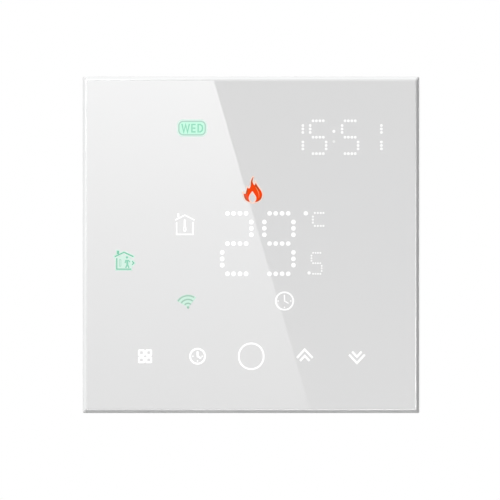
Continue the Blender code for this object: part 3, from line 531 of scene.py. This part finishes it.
def day_sign():
    """The weekday, in a pale window with a line round it."""
    x, z, width, height, radius = -15.05, 29.82, 7.1, 3.8, 1.3
    line, halo = 0.34, 0.7
    lit_sign("sign_day_halo", [rounded(x, z, width + halo, height + halo, 1.6)], day_halo)
    lit_sign("sign_day_window", [rounded(x, z, width, height, radius)], day_window, LAYER)
    frame_line = [rounded(x, z, width, height, radius),
                  rounded(x, z, width - 2 * line, height - 2 * line, radius - line)]
    lit_sign("sign_day_frame", frame_line, day_line, 2 * LAYER)
    top, foot, stem = 30.92, 28.68, 0.36
    middle = (top + foot) / 2
    lows = foot + 0.1
    letter_w = stroke([(-17.65, top), (-17.18, lows), (-16.7, top - 0.25), (-16.22, lows),
                       (-15.75, top)], stem)
    arms = [top - stem / 2, foot + stem / 2]
    letter_e = stroke([(-14.15, arms[0]), (-15.1, arms[0]), (-15.1, arms[1]),
                       (-14.15, arms[1])], stem)
    bar = rounded(-14.54, middle, 0.7, stem, 0.04, 1)
    bow = [(-13.35, arms[1]), (-13.5, arms[1]), (-13.5, arms[0]), (-12.98, arms[0]),
           (-12.52, top - 0.5), (-12.38, middle), (-12.52, foot + 0.5), (-12.98, arms[1]),
           (-13.25, arms[1])]
    lit_sign("sign_day_letters", [letter_w, letter_e, bar, stroke(bow, stem)], day_letter,
             2 * LAYER)


def roof_loop(apex, half_span, drop, width):
    """Two slopes that meet at the apex."""
    x, z = apex
    return stroke([(x - half_span, z - drop), (x, z), (x + half_span, z - drop)], width)


KEY_ROW_Z = -28.45


def ring_key():
    """A ring that is a little higher than wide."""
    x, width, height, line = 0.05, 6.76, 6.98, 0.43
    loops = [rounded(x, KEY_ROW_Z, width - 2 * inset, height - 2 * inset,
                     width / 2 - 0.01 - inset, 16) for inset in (0, line)]
    lit_sign("key_home_ring", loops, white_sign)


def menu_key():
    """Four small boxes with holes."""
    x, offset = -27.05, 0.925
    loops = []
    for dx in (-offset, offset):
        for dz in (-offset, offset):
            for side, radius in ((1.7, 0.36), (0.78, 0.14)):
                loops.append(rounded(x + dx, KEY_ROW_Z + dz, side, side, radius))
    lit_sign("key_menu", loops, white_sign)


def arrow_key(name, x, z, way):
    """Two nested arrow heads, the wide one leading, that point up or down by way."""
    width = 0.52
    loops = []
    for span, drop, back in ((2.0, 2.15, 0.0), (1.2, 1.3, 1.62)):
        tip = z - way * (back + width * 0.7)
        loops.append(stroke([(x - span, tip - way * drop), (x, tip), (x + span, tip - way * drop)],
                            width))
    lit_sign(name, loops, white_sign)


def wireless_sign():
    """A dot and three arcs, on a pale fan."""
    x, z = -16.09, -15.98
    fan = arc(x, z, 1.65, -60, 40, 3.3)
    lit_sign("sign_wireless_halo", [fan], wireless_halo)
    lit_sign("sign_wireless_dot", [disc(x, z, 0.66)], wireless_line, LAYER)
    arcs = [arc(x, z, radius, start, stop, 0.36)
            for radius, start, stop in ((1.05, -54, 45), (2.05, -56, 36), (3.0, -58, 32))]
    lit_sign("sign_wireless_arcs", arcs, wireless_line, LAYER)


def home_sign():
    """A house with a thermometer in it."""
    width = 0.32
    roof = roof_loop((-16.9, 7.58), 2.5, 1.25, width)
    walls = stroke([(-19.0, 5.8), (-19.0, 2.68), (-14.83, 2.68), (-14.83, 5.8)], width)
    chimney = stroke([(-18.6, 8.0), (-18.6, 7.1)], 0.52)
    lit_sign("sign_home_house", [roof, walls, chimney], white_sign)
    x, stem, bulb = -16.92, 0.23, 0.44
    outer = [(x - stem, 6.3), (x, 6.6), (x + stem, 6.3), (x + stem, 4.85), (x + bulb * 0.8, 4.4),
             (x + bulb, 3.9), (x + bulb * 0.7, 3.45), (x, 3.28), (x - bulb * 0.7, 3.45),
             (x - bulb, 3.9), (x - bulb * 0.8, 4.4), (x - stem, 4.85)]
    hollow = rounded(x, 4.1, 0.32, 0.9, 0.15, 4)
    lit_sign("sign_home_thermometer", [outer, hollow], white_sign)


def away_sign():
    """A house with a thermometer, and a person and an arrow leaving it, over a faint glow."""
    inside = [(-34.2, -3.4), (-32.43, -2.35), (-30.6, -3.4), (-30.2, -4.65), (-30.5, -6.2),
              (-34.2, -6.2)]
    lit_sign("sign_away_glow", [eased(inside)], away_halo)
    # The same lines twice: wider by more for the halo, then as they are.
    for name, material, lift, more in (("halo", away_halo, LAYER, 0.5),
                                       ("line", away_line, 3 * LAYER, 0)):
        width = 0.3 + more
        roof = roof_loop((-32.43, -1.9), 2.4 + more / 2, 1.12 + more / 4, width)
        walls = stroke([(-34.28, -3.4 + more / 2), (-34.28, -6.2), (-30.6 + more / 2, -6.2)],
                       width)
        chimney = stroke([(-33.97, -1.5 + more / 2), (-33.97, -2.4)], 0.56 + more)
        arrow = stroke([(-30.36 - more / 4, -4.18 + more / 3), (-29.92, -4.63),
                        (-30.36 - more / 4, -5.08 - more / 3)], 0.28 + more)
        lit_sign("sign_away_house_" + name, [walls], material, lift)
        lit_sign("sign_away_roof_" + name, [roof], material, lift + LAYER / 4)
        lit_sign("sign_away_chimney_" + name, [chimney], material, lift + LAYER / 2)
        lit_sign("sign_away_arrow_" + name, [arrow], material, lift)
    lift = 3 * LAYER
    x, z = -33.42, -4.6
    gauge = [rounded(x, z, 0.56, 1.95, 0.26, 4), rounded(x, z, 0.24, 1.6, 0.11, 4)]
    lit_sign("sign_away_thermometer", gauge, away_pale, lift)
    x = -31.6
    lit_sign("sign_away_head", [disc(x - 0.08, -3.2, 0.62, 14)], away_figure, lift)
    arms = stroke([(x - 0.56, -4.66), (x - 0.38, -3.98), (x + 0.3, -3.98), (x + 0.7, -4.4)], 0.3)
    lit_sign("sign_away_arms", [arms], away_figure, lift + LAYER / 4)
    lit_sign("sign_away_body", [rounded(x, -4.45, 0.5, 1.1, 0.15, 4)], away_figure,
             lift + LAYER / 2)
    legs = stroke([(x - 0.42, -5.9), (x, -4.9), (x + 0.42, -5.9)], 0.34)
    lit_sign("sign_away_legs", [legs], away_figure, lift + LAYER / 4)


def flame_sign():
    """A flame with darker edges, a bright streak and a pale halo round it."""
    outline = [(0.66, 17.52), (0.37, 16.85), (0.35, 16.25), (0.57, 15.55), (1.0, 15.15),
               (1.14, 15.9), (1.65, 15.05), (2.25, 14.25), (2.7, 13.55), (2.89, 12.85),
               (2.73, 12.05), (2.25, 11.4), (1.55, 11.0), (0.9, 10.87),
               (1.23, 11.25), (1.4, 11.85), (1.25, 12.45), (0.8, 13.1), (0.37, 13.8),
               (-0.05, 13.25), (-0.47, 12.65), (-0.63, 11.95), (-0.5, 11.35), (-0.17, 10.93),
               (-0.75, 11.1), (-1.35, 11.45), (-1.73, 12.15), (-1.93, 13.2), (-1.5, 12.9),
               (-1.25, 13.45), (-1.0, 14.15), (-0.93, 14.7), (-0.5, 14.3), (-0.17, 14.75),
               (-0.07, 15.45), (0.0, 16.15), (0.27, 16.95)]
    around = stroke(outline + outline[:1], 0.62)
    half = len(around) // 2
    sides = [eased(side) for side in (around[:half], around[half:])]
    lit_sign("sign_flame_halo", [max(sides, key=outline_area)], flame_halo)
    lit_sign("sign_flame", [eased(outline)], flame_orange, LAYER)
    left_ember = [(-1.91, 13.15), (-1.47, 12.5), (-1.05, 11.7), (-0.25, 10.95), (-0.85, 11.1),
                  (-1.39, 11.45), (-1.75, 12.15)]
    right_ember = [(2.9, 12.95), (2.47, 12.15), (1.85, 11.47), (1.05, 10.93), (1.61, 11.0),
                   (2.27, 11.37), (2.75, 12.05)]
    tip_ember = [(0.67, 17.5), (0.46, 16.8), (0.38, 16.0), (0.2, 15.3), (-0.1, 14.8),
                 (-0.06, 16.15), (0.25, 16.95)]
    tongue_ember = [(1.15, 15.85), (0.95, 15.1), (1.55, 14.3), (2.25, 13.45), (1.9, 14.5)]
    bump_ember = [(-0.95, 14.67), (-0.77, 13.75), (-1.07, 12.85), (-1.47, 12.95), (-1.27, 13.45)]
    embers = (left_ember, right_ember, tip_ember, tongue_ember, bump_ember)
    lit_sign("sign_flame_embers", [eased(loop) for loop in embers], flame_ember, 2 * LAYER)
    light = [(1.1, 15.0), (1.7, 14.1), (2.05, 13.35), (2.15, 12.65), (1.9, 11.75), (2.0, 12.65),
             (1.85, 13.3), (1.5, 14.05)]
    lit_sign("sign_flame_spark", [eased(light)], flame_spark, 3 * LAYER)


def signs():
    day_sign()
    time_sign()
    temperature_sign()
    flame_sign()
    home_sign()
    away_sign()
    wireless_sign()
    lit_sign("sign_timer", clock_loops(8.56, -14.34, 2.42, ring=0.38, hand=0.28, long=1.6,
                                       short=1.2, mark=0.36, mark_radius=1.6), white_sign)
    lit_sign("key_clock", clock_loops(-13.65, KEY_ROW_Z, 2.13, ring=0.46, hand=0.48, long=1.25,
                                      short=1.05, mark=0.4, mark_radius=1.2), white_sign)
    menu_key()
    ring_key()
    arrow_key("key_up", 13.72, -26.35, 1)
    arrow_key("key_down", 27.05, -30.55, -1)


signs()

# ---------------------------------------------------------------- materials of the other pieces


# A wave texture of scale 1 has a wave in each 0.314 of a unit.
WAVES_PER_UNIT = 0.314


def foam_tape():
    """Black closed-cell foam."""
    made = Material("foam_tape", (0.03, 0.03, 0.032, 1), 0.85)
    made.tinted(made.mapped(made.cells(0.35 * MM), 0.1, 0.6, 0, 1), (0.012, 0.012, 0.013, 1))
    made.bumped(made.cells(0.3 * MM), 0.06 * MM)
    return made.made


def light_film():
    """A milky film that light passes through."""
    made = Material("light_film", (0.9, 0.9, 0.9, 1), 0.38, Subsurface_Weight=0.2,
                    Subsurface_Scale=0.5 * MM)
    made.tinted(made.mapped(made.noise(11 * MM), 0.4, 0.7, 0, 1), (0.84, 0.85, 0.86, 1))
    made.bumped(made.noise(0.2 * MM), 0.008 * MM)
    return made.made


def circuit_board():
    """Green solder mask over tracks that show as paler, slightly raised lines."""
    mask, track = (0.012, 0.12, 0.05, 1), (0.035, 0.24, 0.10, 1)
    spacing = 9 * MM
    made = Material("circuit_board", mask, 0.28, Coat_Weight=0.3, Coat_Roughness=0.12)
    bricks = made.node("ShaderNodeTexBrick", offset=0.5, squash=0.6, squash_frequency=3)
    bricks.inputs["Scale"].default_value = 1 / spacing
    bricks.inputs["Mortar Size"].default_value = 0.035
    bricks.inputs["Mortar Smooth"].default_value = 0.15
    turned = made.node("ShaderNodeMapping")
    turned.inputs["Rotation"].default_value = (math.pi / 2, 0, 0)
    made.link(made.place, turned.inputs["Vector"])
    made.link(turned.outputs["Vector"], bricks.inputs["Vector"])
    made.tinted(bricks.outputs["Fac"], track)
    made.tinted(made.mapped(made.noise(6 * MM), 0.45, 0.7, 0, 1), (0.01, 0.09, 0.035, 1))
    made.roughened(made.noise(1.5 * MM), 0.2, 0.36)
    made.bumped(bricks.outputs["Fac"], 0.03 * MM)
    return made.made


def copper_winding():
    """Enamelled wire laid turn beside turn up the coil, with painted shade in the grooves between
    turns.
    """
    pitch = 0.25 * MM
    made = Material("copper_winding", (0.72, 0.30, 0.12, 1), 0.3, metallic=0.85)
    waves = made.node("ShaderNodeTexWave", bands_direction="Z")
    waves.inputs["Scale"].default_value = WAVES_PER_UNIT / pitch
    waves.inputs["Distortion"].default_value = 0.3
    waves.inputs["Detail"].default_value = 1.0
    made.link(made.place, waves.inputs["Vector"])
    # Painted shade: the copper is darkened where the waves are low, in the grooves between the
    # turns.
    made.tinted(made.mapped(waves.outputs["Fac"], 0.0, 0.5, 1, 0), (0.20, 0.06, 0.02, 1))
    made.bumped(waves.outputs["Fac"], 0.05 * MM)
    return made.made


def tape_wrap():
    """Glossy yellow tape, with the edges of its turns showing through."""
    made = Material("yellow_tape", (0.78, 0.56, 0.07, 1), 0.24, Coat_Weight=0.5,
                    Coat_Roughness=0.1)
    made.tinted(made.mapped(made.noise(2.5 * MM, stretch=(1, 6, 1)), 0.4, 0.7, 0, 1),
                (0.6, 0.40, 0.04, 1))
    made.bumped(made.noise(1.2 * MM, stretch=(8, 8, 1)), 0.03 * MM)
    return made.made


def ferrite():
    """Sintered ferrite, with pale specks."""
    made = Material("ferrite", (0.035, 0.035, 0.038, 1), 0.62)
    made.tinted(made.mapped(made.noise(0.4 * MM, detail=6), 0.55, 0.75, 0, 1),
                (0.09, 0.09, 0.095, 1))
    made.bumped(made.noise(0.15 * MM, detail=5), 0.02 * MM)
    return made.made


WHITE, GREY = (0.78, 0.78, 0.77, 1), (0.72, 0.725, 0.725, 1)
finishes = {
    "black_tape": foam_tape(),
    "milky_film": light_film(),
    "white_plastic": moulded_plastic("white_plastic", WHITE, 0.42),
    "grey_plastic": moulded_plastic("grey_plastic", GREY, 0.5, grain=0.4 * MM,
                                    relief=0.02 * MM),
    "black_plastic": moulded_plastic("black_plastic", (0.022, 0.022, 0.024, 1), 0.45),
    "green_plastic": moulded_plastic("green_plastic", (0.03, 0.26, 0.10, 1), 0.4),
    "blue_plastic": glossy_plastic("blue_plastic", (0.02, 0.09, 0.32, 1)),
    "dark_sleeve": glossy_plastic("dark_sleeve", (0.03, 0.035, 0.07, 1), 0.2),
    "circuit_board": circuit_board(),
    "plated_steel": plated_metal("zinc_plate", (0.66, 0.67, 0.69, 1), 0.34,
                                 grain=LINES_ALONG_X),
    "spring_steel": plated_metal("spring_steel", (0.62, 0.62, 0.61, 1), 0.24),
    "screw_steel": plated_metal("screw_steel", (0.66, 0.66, 0.65, 1), 0.26, 0.5 * MM),
    "brass": plated_metal("tinned_brass", (0.80, 0.66, 0.36, 1), 0.28, 0.6 * MM),
    "copper_winding": copper_winding(),
    "yellow_plastic": tape_wrap(),
    "ferrite": ferrite(),
}
slot_of = {part["node"]: part["material_slot"] for part in frame["record"]["subparts"]}

# ---------------------------------------------------------------- softened copies of CAD nodes

# Corners of facets nearer than this, in metres, are one point.
MERGE = 2e-6
# The width in millimetres of a node's rounded edges. The slivers of inner_cover would fold over.
ROUND_EDGE = {
    "front_frame": 0.3, "inner_cover": 0.0, "mounting_plate": 0.12, "base_housing": 0.3,
    "base_cover": 0.15, "terminal_block": 0.16, "relay_case": 0.35,
    "relay_base": 0.15, "transformer_core": 0.2, "transformer_winding": 0.25,
    "film_capacitor": 0.35, "wifi_module": 0.1, "header_socket": 0.15, "board_header": 0.1,
    "light_mask": 0.1, "power_board": 0.05, "display_board": 0.05, "relay_yoke": 0.1,
    "relay_armature": 0.06, "terminal_clamp": 0.1, "terminal_contact": 0.08,
    "terminal_screw": 0.07, "cover_screw": 0.07, "mounting_screw": 0.07,
    "housing_screw": 0.07, "room_sensor": 0.1, "fuse": 0.1,
}


def edge_width(node):
    """The width in metres of a node's rounded edges, found by its name or without its number."""
    family = node.rsplit("_", 1)[0] if node[-1].isdigit() else node
    return ROUND_EDGE.get(node, ROUND_EDGE.get(family, 0.0)) * MM


def softened(node, source):
    """A copy of a CAD node with its facets joined again, its edges rounded and its finish."""
    mesh = source.data.copy()
    mesh.name = node + "_surface"
    bm = bmesh.new()
    bm.from_mesh(mesh)
    bmesh.ops.remove_doubles(bm, verts=bm.verts, dist=MERGE)
    bm.to_mesh(mesh)
    bm.free()
    mesh.materials.clear()
    smooth(mesh, 32)
    slot_name = slot_of[node]
    obj = named(mesh.name, mesh, source["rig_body"], finishes[slot_name], [node])
    width = edge_width(node)
    if width:
        bevel = obj.modifiers.new("rounding", "BEVEL")
        bevel.width = width
        bevel.segments = 2
        bevel.limit_method = "ANGLE"
        bevel.angle_limit = math.radians(40)
        bevel.use_clamp_overlap = False
        bevel.loop_slide = False
        level = obj.modifiers.new("flat faces", "WEIGHTED_NORMAL")
        level.mode = "FACE_AREA"
        level.weight = 100
        level.keep_sharp = True


for node_name in sorted(slot_of):
    if node_name != "glass_panel":
        softened(node_name, frame["nodes"][node_name])

# ---------------------------------------------------------------- details on the back

housing_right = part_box("base_housing")[1].x
housing_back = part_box("base_housing")[1].y
plate_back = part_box("mounting_plate")[1].y
# How far a flat detail reaches into the face that it lies on.
ROOT = 0.03 * MM


def rear_piece(name, curve, y, thickness, material):
    """A curve, as seen from behind, made into a plate of the base whose near side is at y."""
    stand = Matrix.Translation((0, y + thickness / 2, 0)) @ Matrix.Rotation(math.pi, 4, "Z")
    return named(name, mesh_from_curve(name, curve, stand @ UPRIGHT), "base", material)


def flat_plate(name, loops, y, thickness, material):
    """Outlines, as seen from behind, made into a plate of the base."""
    rear_piece(name, outline_curve(name, loops, thickness), y, thickness, material)


def up_arrow(x, foot, neck, tip, shaft, head):
    """An arrow that points up: the heights of its foot, neck and tip, and two half widths."""
    return [(x - shaft, foot), (x - shaft, neck), (x - head, neck), (x, tip), (x + head, neck),
            (x + shaft, neck), (x + shaft, foot)]


@functools.cache
def print_ink():
    """Dark ink, a little worn."""
    made = Material("label_print", (0.06, 0.06, 0.065, 1), 0.5)
    made.tinted(made.mapped(made.noise(0.5 * MM), 0.45, 0.7, 0, 1), (0.10, 0.10, 0.105, 1))
    made.bumped(made.noise(0.1 * MM), 0.003 * MM)
    return made.made


def pole_numbers():
    """The number of each terminal, in low relief on the housing above it."""
    poles, pitch, z = 6, 7.62 * MM, -10.0 * MM
    size, thickness, root = 2.6 * MM, 0.16 * MM, 0.06 * MM
    for i in range(poles):
        curve = bpy.data.curves.new("pole_number_%d" % (i + 1), "FONT")
        curve.body = str(i + 1)
        curve.align_x, curve.align_y = "CENTER", "CENTER"
        curve.size = size
        curve.extrude = thickness / 2
        curve.resolution_u = 4
        number = rear_piece(curve.name, curve, housing_back - root, thickness, print_ink())
        x = (i - (poles - 1) / 2) * pitch
        number.data.transform(Matrix.Translation((x, 0, z)))


def rating_plate():
    """A blank label: a frame, the double square of double insulation, and plain rules."""
    label = Material("label_film", (0.72, 0.73, 0.74, 1), 0.3, metallic=0.35,
                     Coat_Weight=0.4, Coat_Roughness=0.15)
    label.tinted(label.mapped(label.noise(0.25 * MM, stretch=(30, 1, 1)), 0.4, 0.7, 0, 1),
                 (0.66, 0.67, 0.68, 1))
    label.bumped(label.noise(0.2 * MM, stretch=(20, 1, 1)), 0.004 * MM)
    z, width, height = -3.2, 36.0, 8.6
    flat_plate("rating_plate", [rounded(0, z, width, height, 0.9)], housing_back - ROOT,
               0.11 * MM, label.made)
    marks = [rounded(0, z, width - inset, height - inset, radius)
             for inset, radius in ((1.0, 0.5), (1.3, 0.35))]
    square_x, line = 13.2, 0.5
    for outer in (3.6, 2.0):
        for side in (outer, outer - line):
            marks.append(rounded(square_x, z, side, side, 0.08, 2))
    rule_start, rule_pitch, rule_height = -14.5, 1.4, 0.42
    for row, length in enumerate((15.0, 12.0, 14.0, 9.0)):
        marks.append(rounded(rule_start + length / 2, z + 2.1 - rule_pitch * row, length,
                             rule_height, 0.1, 2))
    marks.append(up_arrow(7.4, z - 1.8, z + 0.2, z + 1.9, 0.4, 1.2))
    flat_plate("rating_plate_print", marks, housing_back + 0.05 * MM, 0.05 * MM, print_ink())


def side_ribs():
    """Three crush ribs down each side of the rear housing, which steady it in the box."""
    proud, width, start, length = 0.45 * MM, 1.0 * MM, 4.0 * MM, 21.0 * MM
    rounding = 0.3 * MM
    for sign, side in ((-1, "left"), (1, "right")):
        for i, z in enumerate((-6.0 * MM, 3.0 * MM, 12.0 * MM)):
            bm = bmesh.new()
            place = Matrix.Translation((housing_right * sign, start + length / 2, z))
            size = Matrix.Diagonal((2 * proud, length, width, 1))
            bmesh.ops.create_cube(bm, size=1, matrix=place @ size)
            outer = [e for e in bm.edges if all(abs(v.co.x) > housing_right for v in e.verts)]
            bmesh.ops.bevel(bm, geom=outer, offset=rounding, segments=3, affect="EDGES",
                            clamp_overlap=True)
            mesh = mesh_of(bm, "housing_rib_%s_%d" % (side, i + 1))
            smooth(mesh)
            named(mesh.name, mesh, "base", finishes["grey_plastic"])


def plate_arrows():
    """Stamped arrows at the top of the steel plate, which show its way up."""
    mark = plated_metal("stamped_mark", (0.30, 0.30, 0.31, 1), 0.5)
    for i, x in enumerate((-27.5, 27.5)):
        flat_plate("plate_arrow_%d" % (i + 1), [up_arrow(x, 24.6, 27.2, 30.2, 0.6, 1.6)],
                   plate_back - ROOT, 0.05 * MM, mark)


def screw_thread(node):
    """A helical ridge on the shank of a wall screw, with closed ends."""
    low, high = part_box(node)
    x, z = (low.x + high.x) / 2, (low.z + high.z) / 2
    radius, depth, pitch = 1.93 * MM, 0.2 * MM, 0.7 * MM
    root, flank = -0.05 * MM, pitch * 0.42
    start, stop = 4.0 * MM, high.y - 0.9 * MM
    steps_a_turn, run_out = 20, 12
    turns = (stop - start) / pitch
    steps = int(turns * steps_a_turn)
    bm = bmesh.new()
    rings = []
    for i in range(steps + 1):
        angle = 2 * math.pi * turns * i / steps
        y = start + pitch * turns * i / steps
        fade = min(1.0, i / run_out, (steps - i) / run_out)
        ring = []
        for out, along in ((root, -flank), (depth * fade, 0), (root, flank)):
            r = radius + out
            ring.append(bm.verts.new((x + r * math.cos(angle), y + along,
                                      z + r * math.sin(angle))))
        rings.append(ring)
    for a, b in zip(rings, rings[1:]):
        for j in range(3):
            k = (j + 1) % 3
            bm.faces.new((a[j], a[k], b[k], b[j]))
    bm.faces.new(rings[0][::-1])
    bm.faces.new(rings[-1])
    bmesh.ops.recalc_face_normals(bm, faces=bm.faces)
    mesh = mesh_of(bm, node + "_thread")
    smooth(mesh, 40)
    named(mesh.name, mesh, "base", finishes["screw_steel"])


pole_numbers()
rating_plate()
side_ribs()
plate_arrows()
for screw_node in ("mounting_screw_1", "mounting_screw_2"):
    screw_thread(screw_node)

# ---------------------------------------------------------------- camera, world, lights, floor

# What the picture spans at the glass, and the point of the glass at its middle.
FRAME_WIDTH = 127.7 * MM
AIM = Vector((-0.26 * MM, FRONT, -1.31 * MM))
LENS, SENSOR = 400.0, 36.0
DISTANCE = FRAME_WIDTH * LENS / SENSOR


def make_camera():
    data = bpy.data.cameras.new("camera")
    data.lens, data.sensor_width = LENS, SENSOR
    data.clip_start, data.clip_end = 0.05, 20
    camera = bpy.data.objects.new("camera", data)
    camera.location = AIM - Vector((0, DISTANCE, 0))
    camera.rotation_euler = (math.pi / 2, 0, 0)
    bpy.context.scene.collection.objects.link(camera)
    bpy.context.scene.camera = camera


# The even light from all round; the key light, from the front at the upper left; the rear light.
AMBIENT = 0.37
KEY = 2.77
KEY_FROM, KEY_SPREAD = (-0.53, -0.577, 0.62), 12
REAR = 1.8
REAR_FROM, REAR_SPREAD = (0.4, 0.9, 0.06), 25


def make_world():
    """White behind the object, and a softer grey for the light that falls on it."""
    world = bpy.data.worlds.new("studio")
    world.use_nodes = True
    bpy.context.scene.world = world
    tree = world.node_tree
    tree.nodes.clear()
    path = tree.nodes.new("ShaderNodeLightPath")
    backdrop = tree.nodes.new("ShaderNodeBackground")
    backdrop.inputs["Strength"].default_value = 1.0
    backdrop.inputs["Color"].default_value = FULL_WHITE
    falling = tree.nodes.new("ShaderNodeBackground")
    place = tree.nodes.new("ShaderNodeTexCoord")
    split = tree.nodes.new("ShaderNodeSeparateXYZ")
    upward = tree.nodes.new("ShaderNodeMapRange")
    upward.inputs["From Min"].default_value = -1
    upward.inputs["To Min"].default_value = AMBIENT * 0.6
    upward.inputs["To Max"].default_value = AMBIENT * 1.4
    tree.links.new(place.outputs["Generated"], split.inputs["Vector"])
    tree.links.new(split.outputs["Z"], upward.inputs["Value"])
    tree.links.new(upward.outputs["Result"], falling.inputs["Strength"])
    falling.inputs["Color"].default_value = FULL_WHITE
    mix = tree.nodes.new("ShaderNodeMixShader")
    out = tree.nodes.new("ShaderNodeOutputWorld")
    tree.links.new(path.outputs["Is Camera Ray"], mix.inputs["Fac"])
    tree.links.new(falling.outputs["Background"], mix.inputs[1])
    tree.links.new(backdrop.outputs["Background"], mix.inputs[2])
    tree.links.new(mix.outputs["Shader"], out.inputs["Surface"])


def make_sun(name, source, strength, spread):
    """Soft light that comes from a direction, and spreads over so many degrees."""
    data = bpy.data.lights.new(name, "SUN")
    data.energy = strength
    data.angle = math.radians(spread)
    data.specular_factor = 0.0
    light = bpy.data.objects.new(name, data)
    light.rotation_euler = Vector(source).to_track_quat("Z", "Y").to_euler()
    bpy.context.scene.collection.objects.link(light)


# How far the cards stand before the glass, in metres.
CARD_AWAY = 0.5


def reflected(x, z):
    """The x and z on a card before the glass that a point on the glass (mm) reflects."""
    grow = (DISTANCE + CARD_AWAY) / DISTANCE
    return AIM.x + (x * MM - AIM.x) * grow, AIM.z + (z * MM - AIM.z) * grow


def card(name, corners, material):
    """A glowing card that only reflections see."""
    bm = bmesh.new()
    bm.faces.new([bm.verts.new(corner) for corner in corners])
    mesh = mesh_of(bm, name)
    mesh.materials.append(material)
    obj = bpy.data.objects.new(name, mesh)
    bpy.context.scene.collection.objects.link(obj)
    obj.visible_camera = False
    obj.visible_diffuse = False
    obj.visible_shadow = False
    obj.visible_transmission = False


def glow(name, levels, axis, low, high):
    """Light whose strength changes along an axis, through evenly spaced levels."""
    made = bpy.data.materials.new(name)
    made.use_nodes = True
    tree = made.node_tree
    tree.nodes.clear()
    place = tree.nodes.new("ShaderNodeTexCoord")
    split = tree.nodes.new("ShaderNodeSeparateXYZ")
    along = tree.nodes.new("ShaderNodeMapRange")
    along.inputs["From Min"].default_value, along.inputs["From Max"].default_value = low, high
    course = tree.nodes.new("ShaderNodeFloatCurve")
    points = course.mapping.curves[0].points
    top = max(levels)
    points[0].location = (0, levels[0] / top)
    points[-1].location = (1, levels[-1] / top)
    for i, level in enumerate(levels[1:-1], 1):
        points.new(i / (len(levels) - 1), level / top)
    course.mapping.update()
    grow = tree.nodes.new("ShaderNodeMath")
    grow.operation = "MULTIPLY"
    grow.inputs[1].default_value = top
    emission = tree.nodes.new("ShaderNodeEmission")
    out = tree.nodes.new("ShaderNodeOutputMaterial")
    tree.links.new(place.outputs["Object"], split.inputs["Vector"])
    tree.links.new(split.outputs[axis], along.inputs["Value"])
    tree.links.new(along.outputs["Result"], course.inputs["Value"])
    tree.links.new(course.outputs["Value"], grow.inputs[0])
    tree.links.new(grow.outputs["Value"], emission.inputs["Strength"])
    tree.links.new(emission.outputs["Emission"], out.inputs["Surface"])
    return made


def glint_cards():
    """Two strips that light the rounded arrises at the right and the foot of the glass."""
    near, far = math.radians(24), math.radians(58)
    half, fade = 0.09, 0.06
    corners = ((near, -half), (far, -half), (far, half), (near, half))
    right = [(CARD_AWAY * math.sin(a), FRONT - CARD_AWAY * math.cos(a), z) for a, z in corners]
    card("glint_card_right", right,
         glow("glint_light_right", (10, 7.5, 5, 2), "Z", -fade, fade))
    foot = [(x, FRONT - CARD_AWAY * math.cos(a), -CARD_AWAY * math.sin(a)) for a, x in corners]
    card("glint_card_foot", foot,
         glow("glint_light_foot", (2.5, 3.3, 4.2, 5.2), "X", -fade, fade))


def glare_card():
    """The window light that the left of the glass reflects, up to a slanting edge."""
    half_side = glass_high.z / MM
    edge_top, edge_foot = reflected(-9.82, half_side), reflected(15.38, -half_side)
    run = (edge_foot[0] - edge_top[0]) / (edge_foot[1] - edge_top[1])
    reach, left, y = 0.15, -0.4, FRONT - CARD_AWAY
    top, foot = edge_top[1] + reach, edge_foot[1] - reach
    levels = [level + AMBIENT for level in (0.95, 1.8, 2.75, 4.0, 5.3)]
    card("glare_card",
         [(left, y, foot), (edge_foot[0] - run * reach, y, foot),
          (edge_top[0] + run * reach, y, top), (left, y, top)],
         glow("glare_light", levels, "Z", edge_foot[1], edge_top[1]))


def make_floor():
    """A small pale floor under the object, below the photograph's frame."""
    half, flat, dip, height = 0.17, 0.15, 0.0035, -0.26
    bm = bmesh.new()
    bmesh.ops.create_grid(bm, x_segments=24, y_segments=24, size=half)
    for v in bm.verts:
        rim = max(abs(v.co.x), abs(v.co.y))
        v.co.z = -dip * max(0, rim - flat) / (half - flat)
    mesh = mesh_of(bm, "floor")
    mesh.shade_smooth()
    floor = bpy.data.objects.new("floor", mesh)
    floor.location = (0, 0, height)
    bpy.context.scene.collection.objects.link(floor)
    made = Material("pale_floor", (0.82, 0.82, 0.81, 1), 0.7)
    made.tinted(made.mapped(made.noise(60 * MM), 0.4, 0.7, 0, 1), (0.78, 0.78, 0.775, 1))
    made.bumped(made.noise(2 * MM), 0.05 * MM)
    floor.data.materials.append(made.made)


make_camera()
make_world()
make_sun("key", KEY_FROM, KEY, KEY_SPREAD)
make_sun("rear_fill", REAR_FROM, REAR, REAR_SPREAD)
glare_card()
glint_cards()
make_floor()
bpy.context.scene.view_settings.view_transform = "Standard"
bpy.context.scene.view_settings.look = "None"
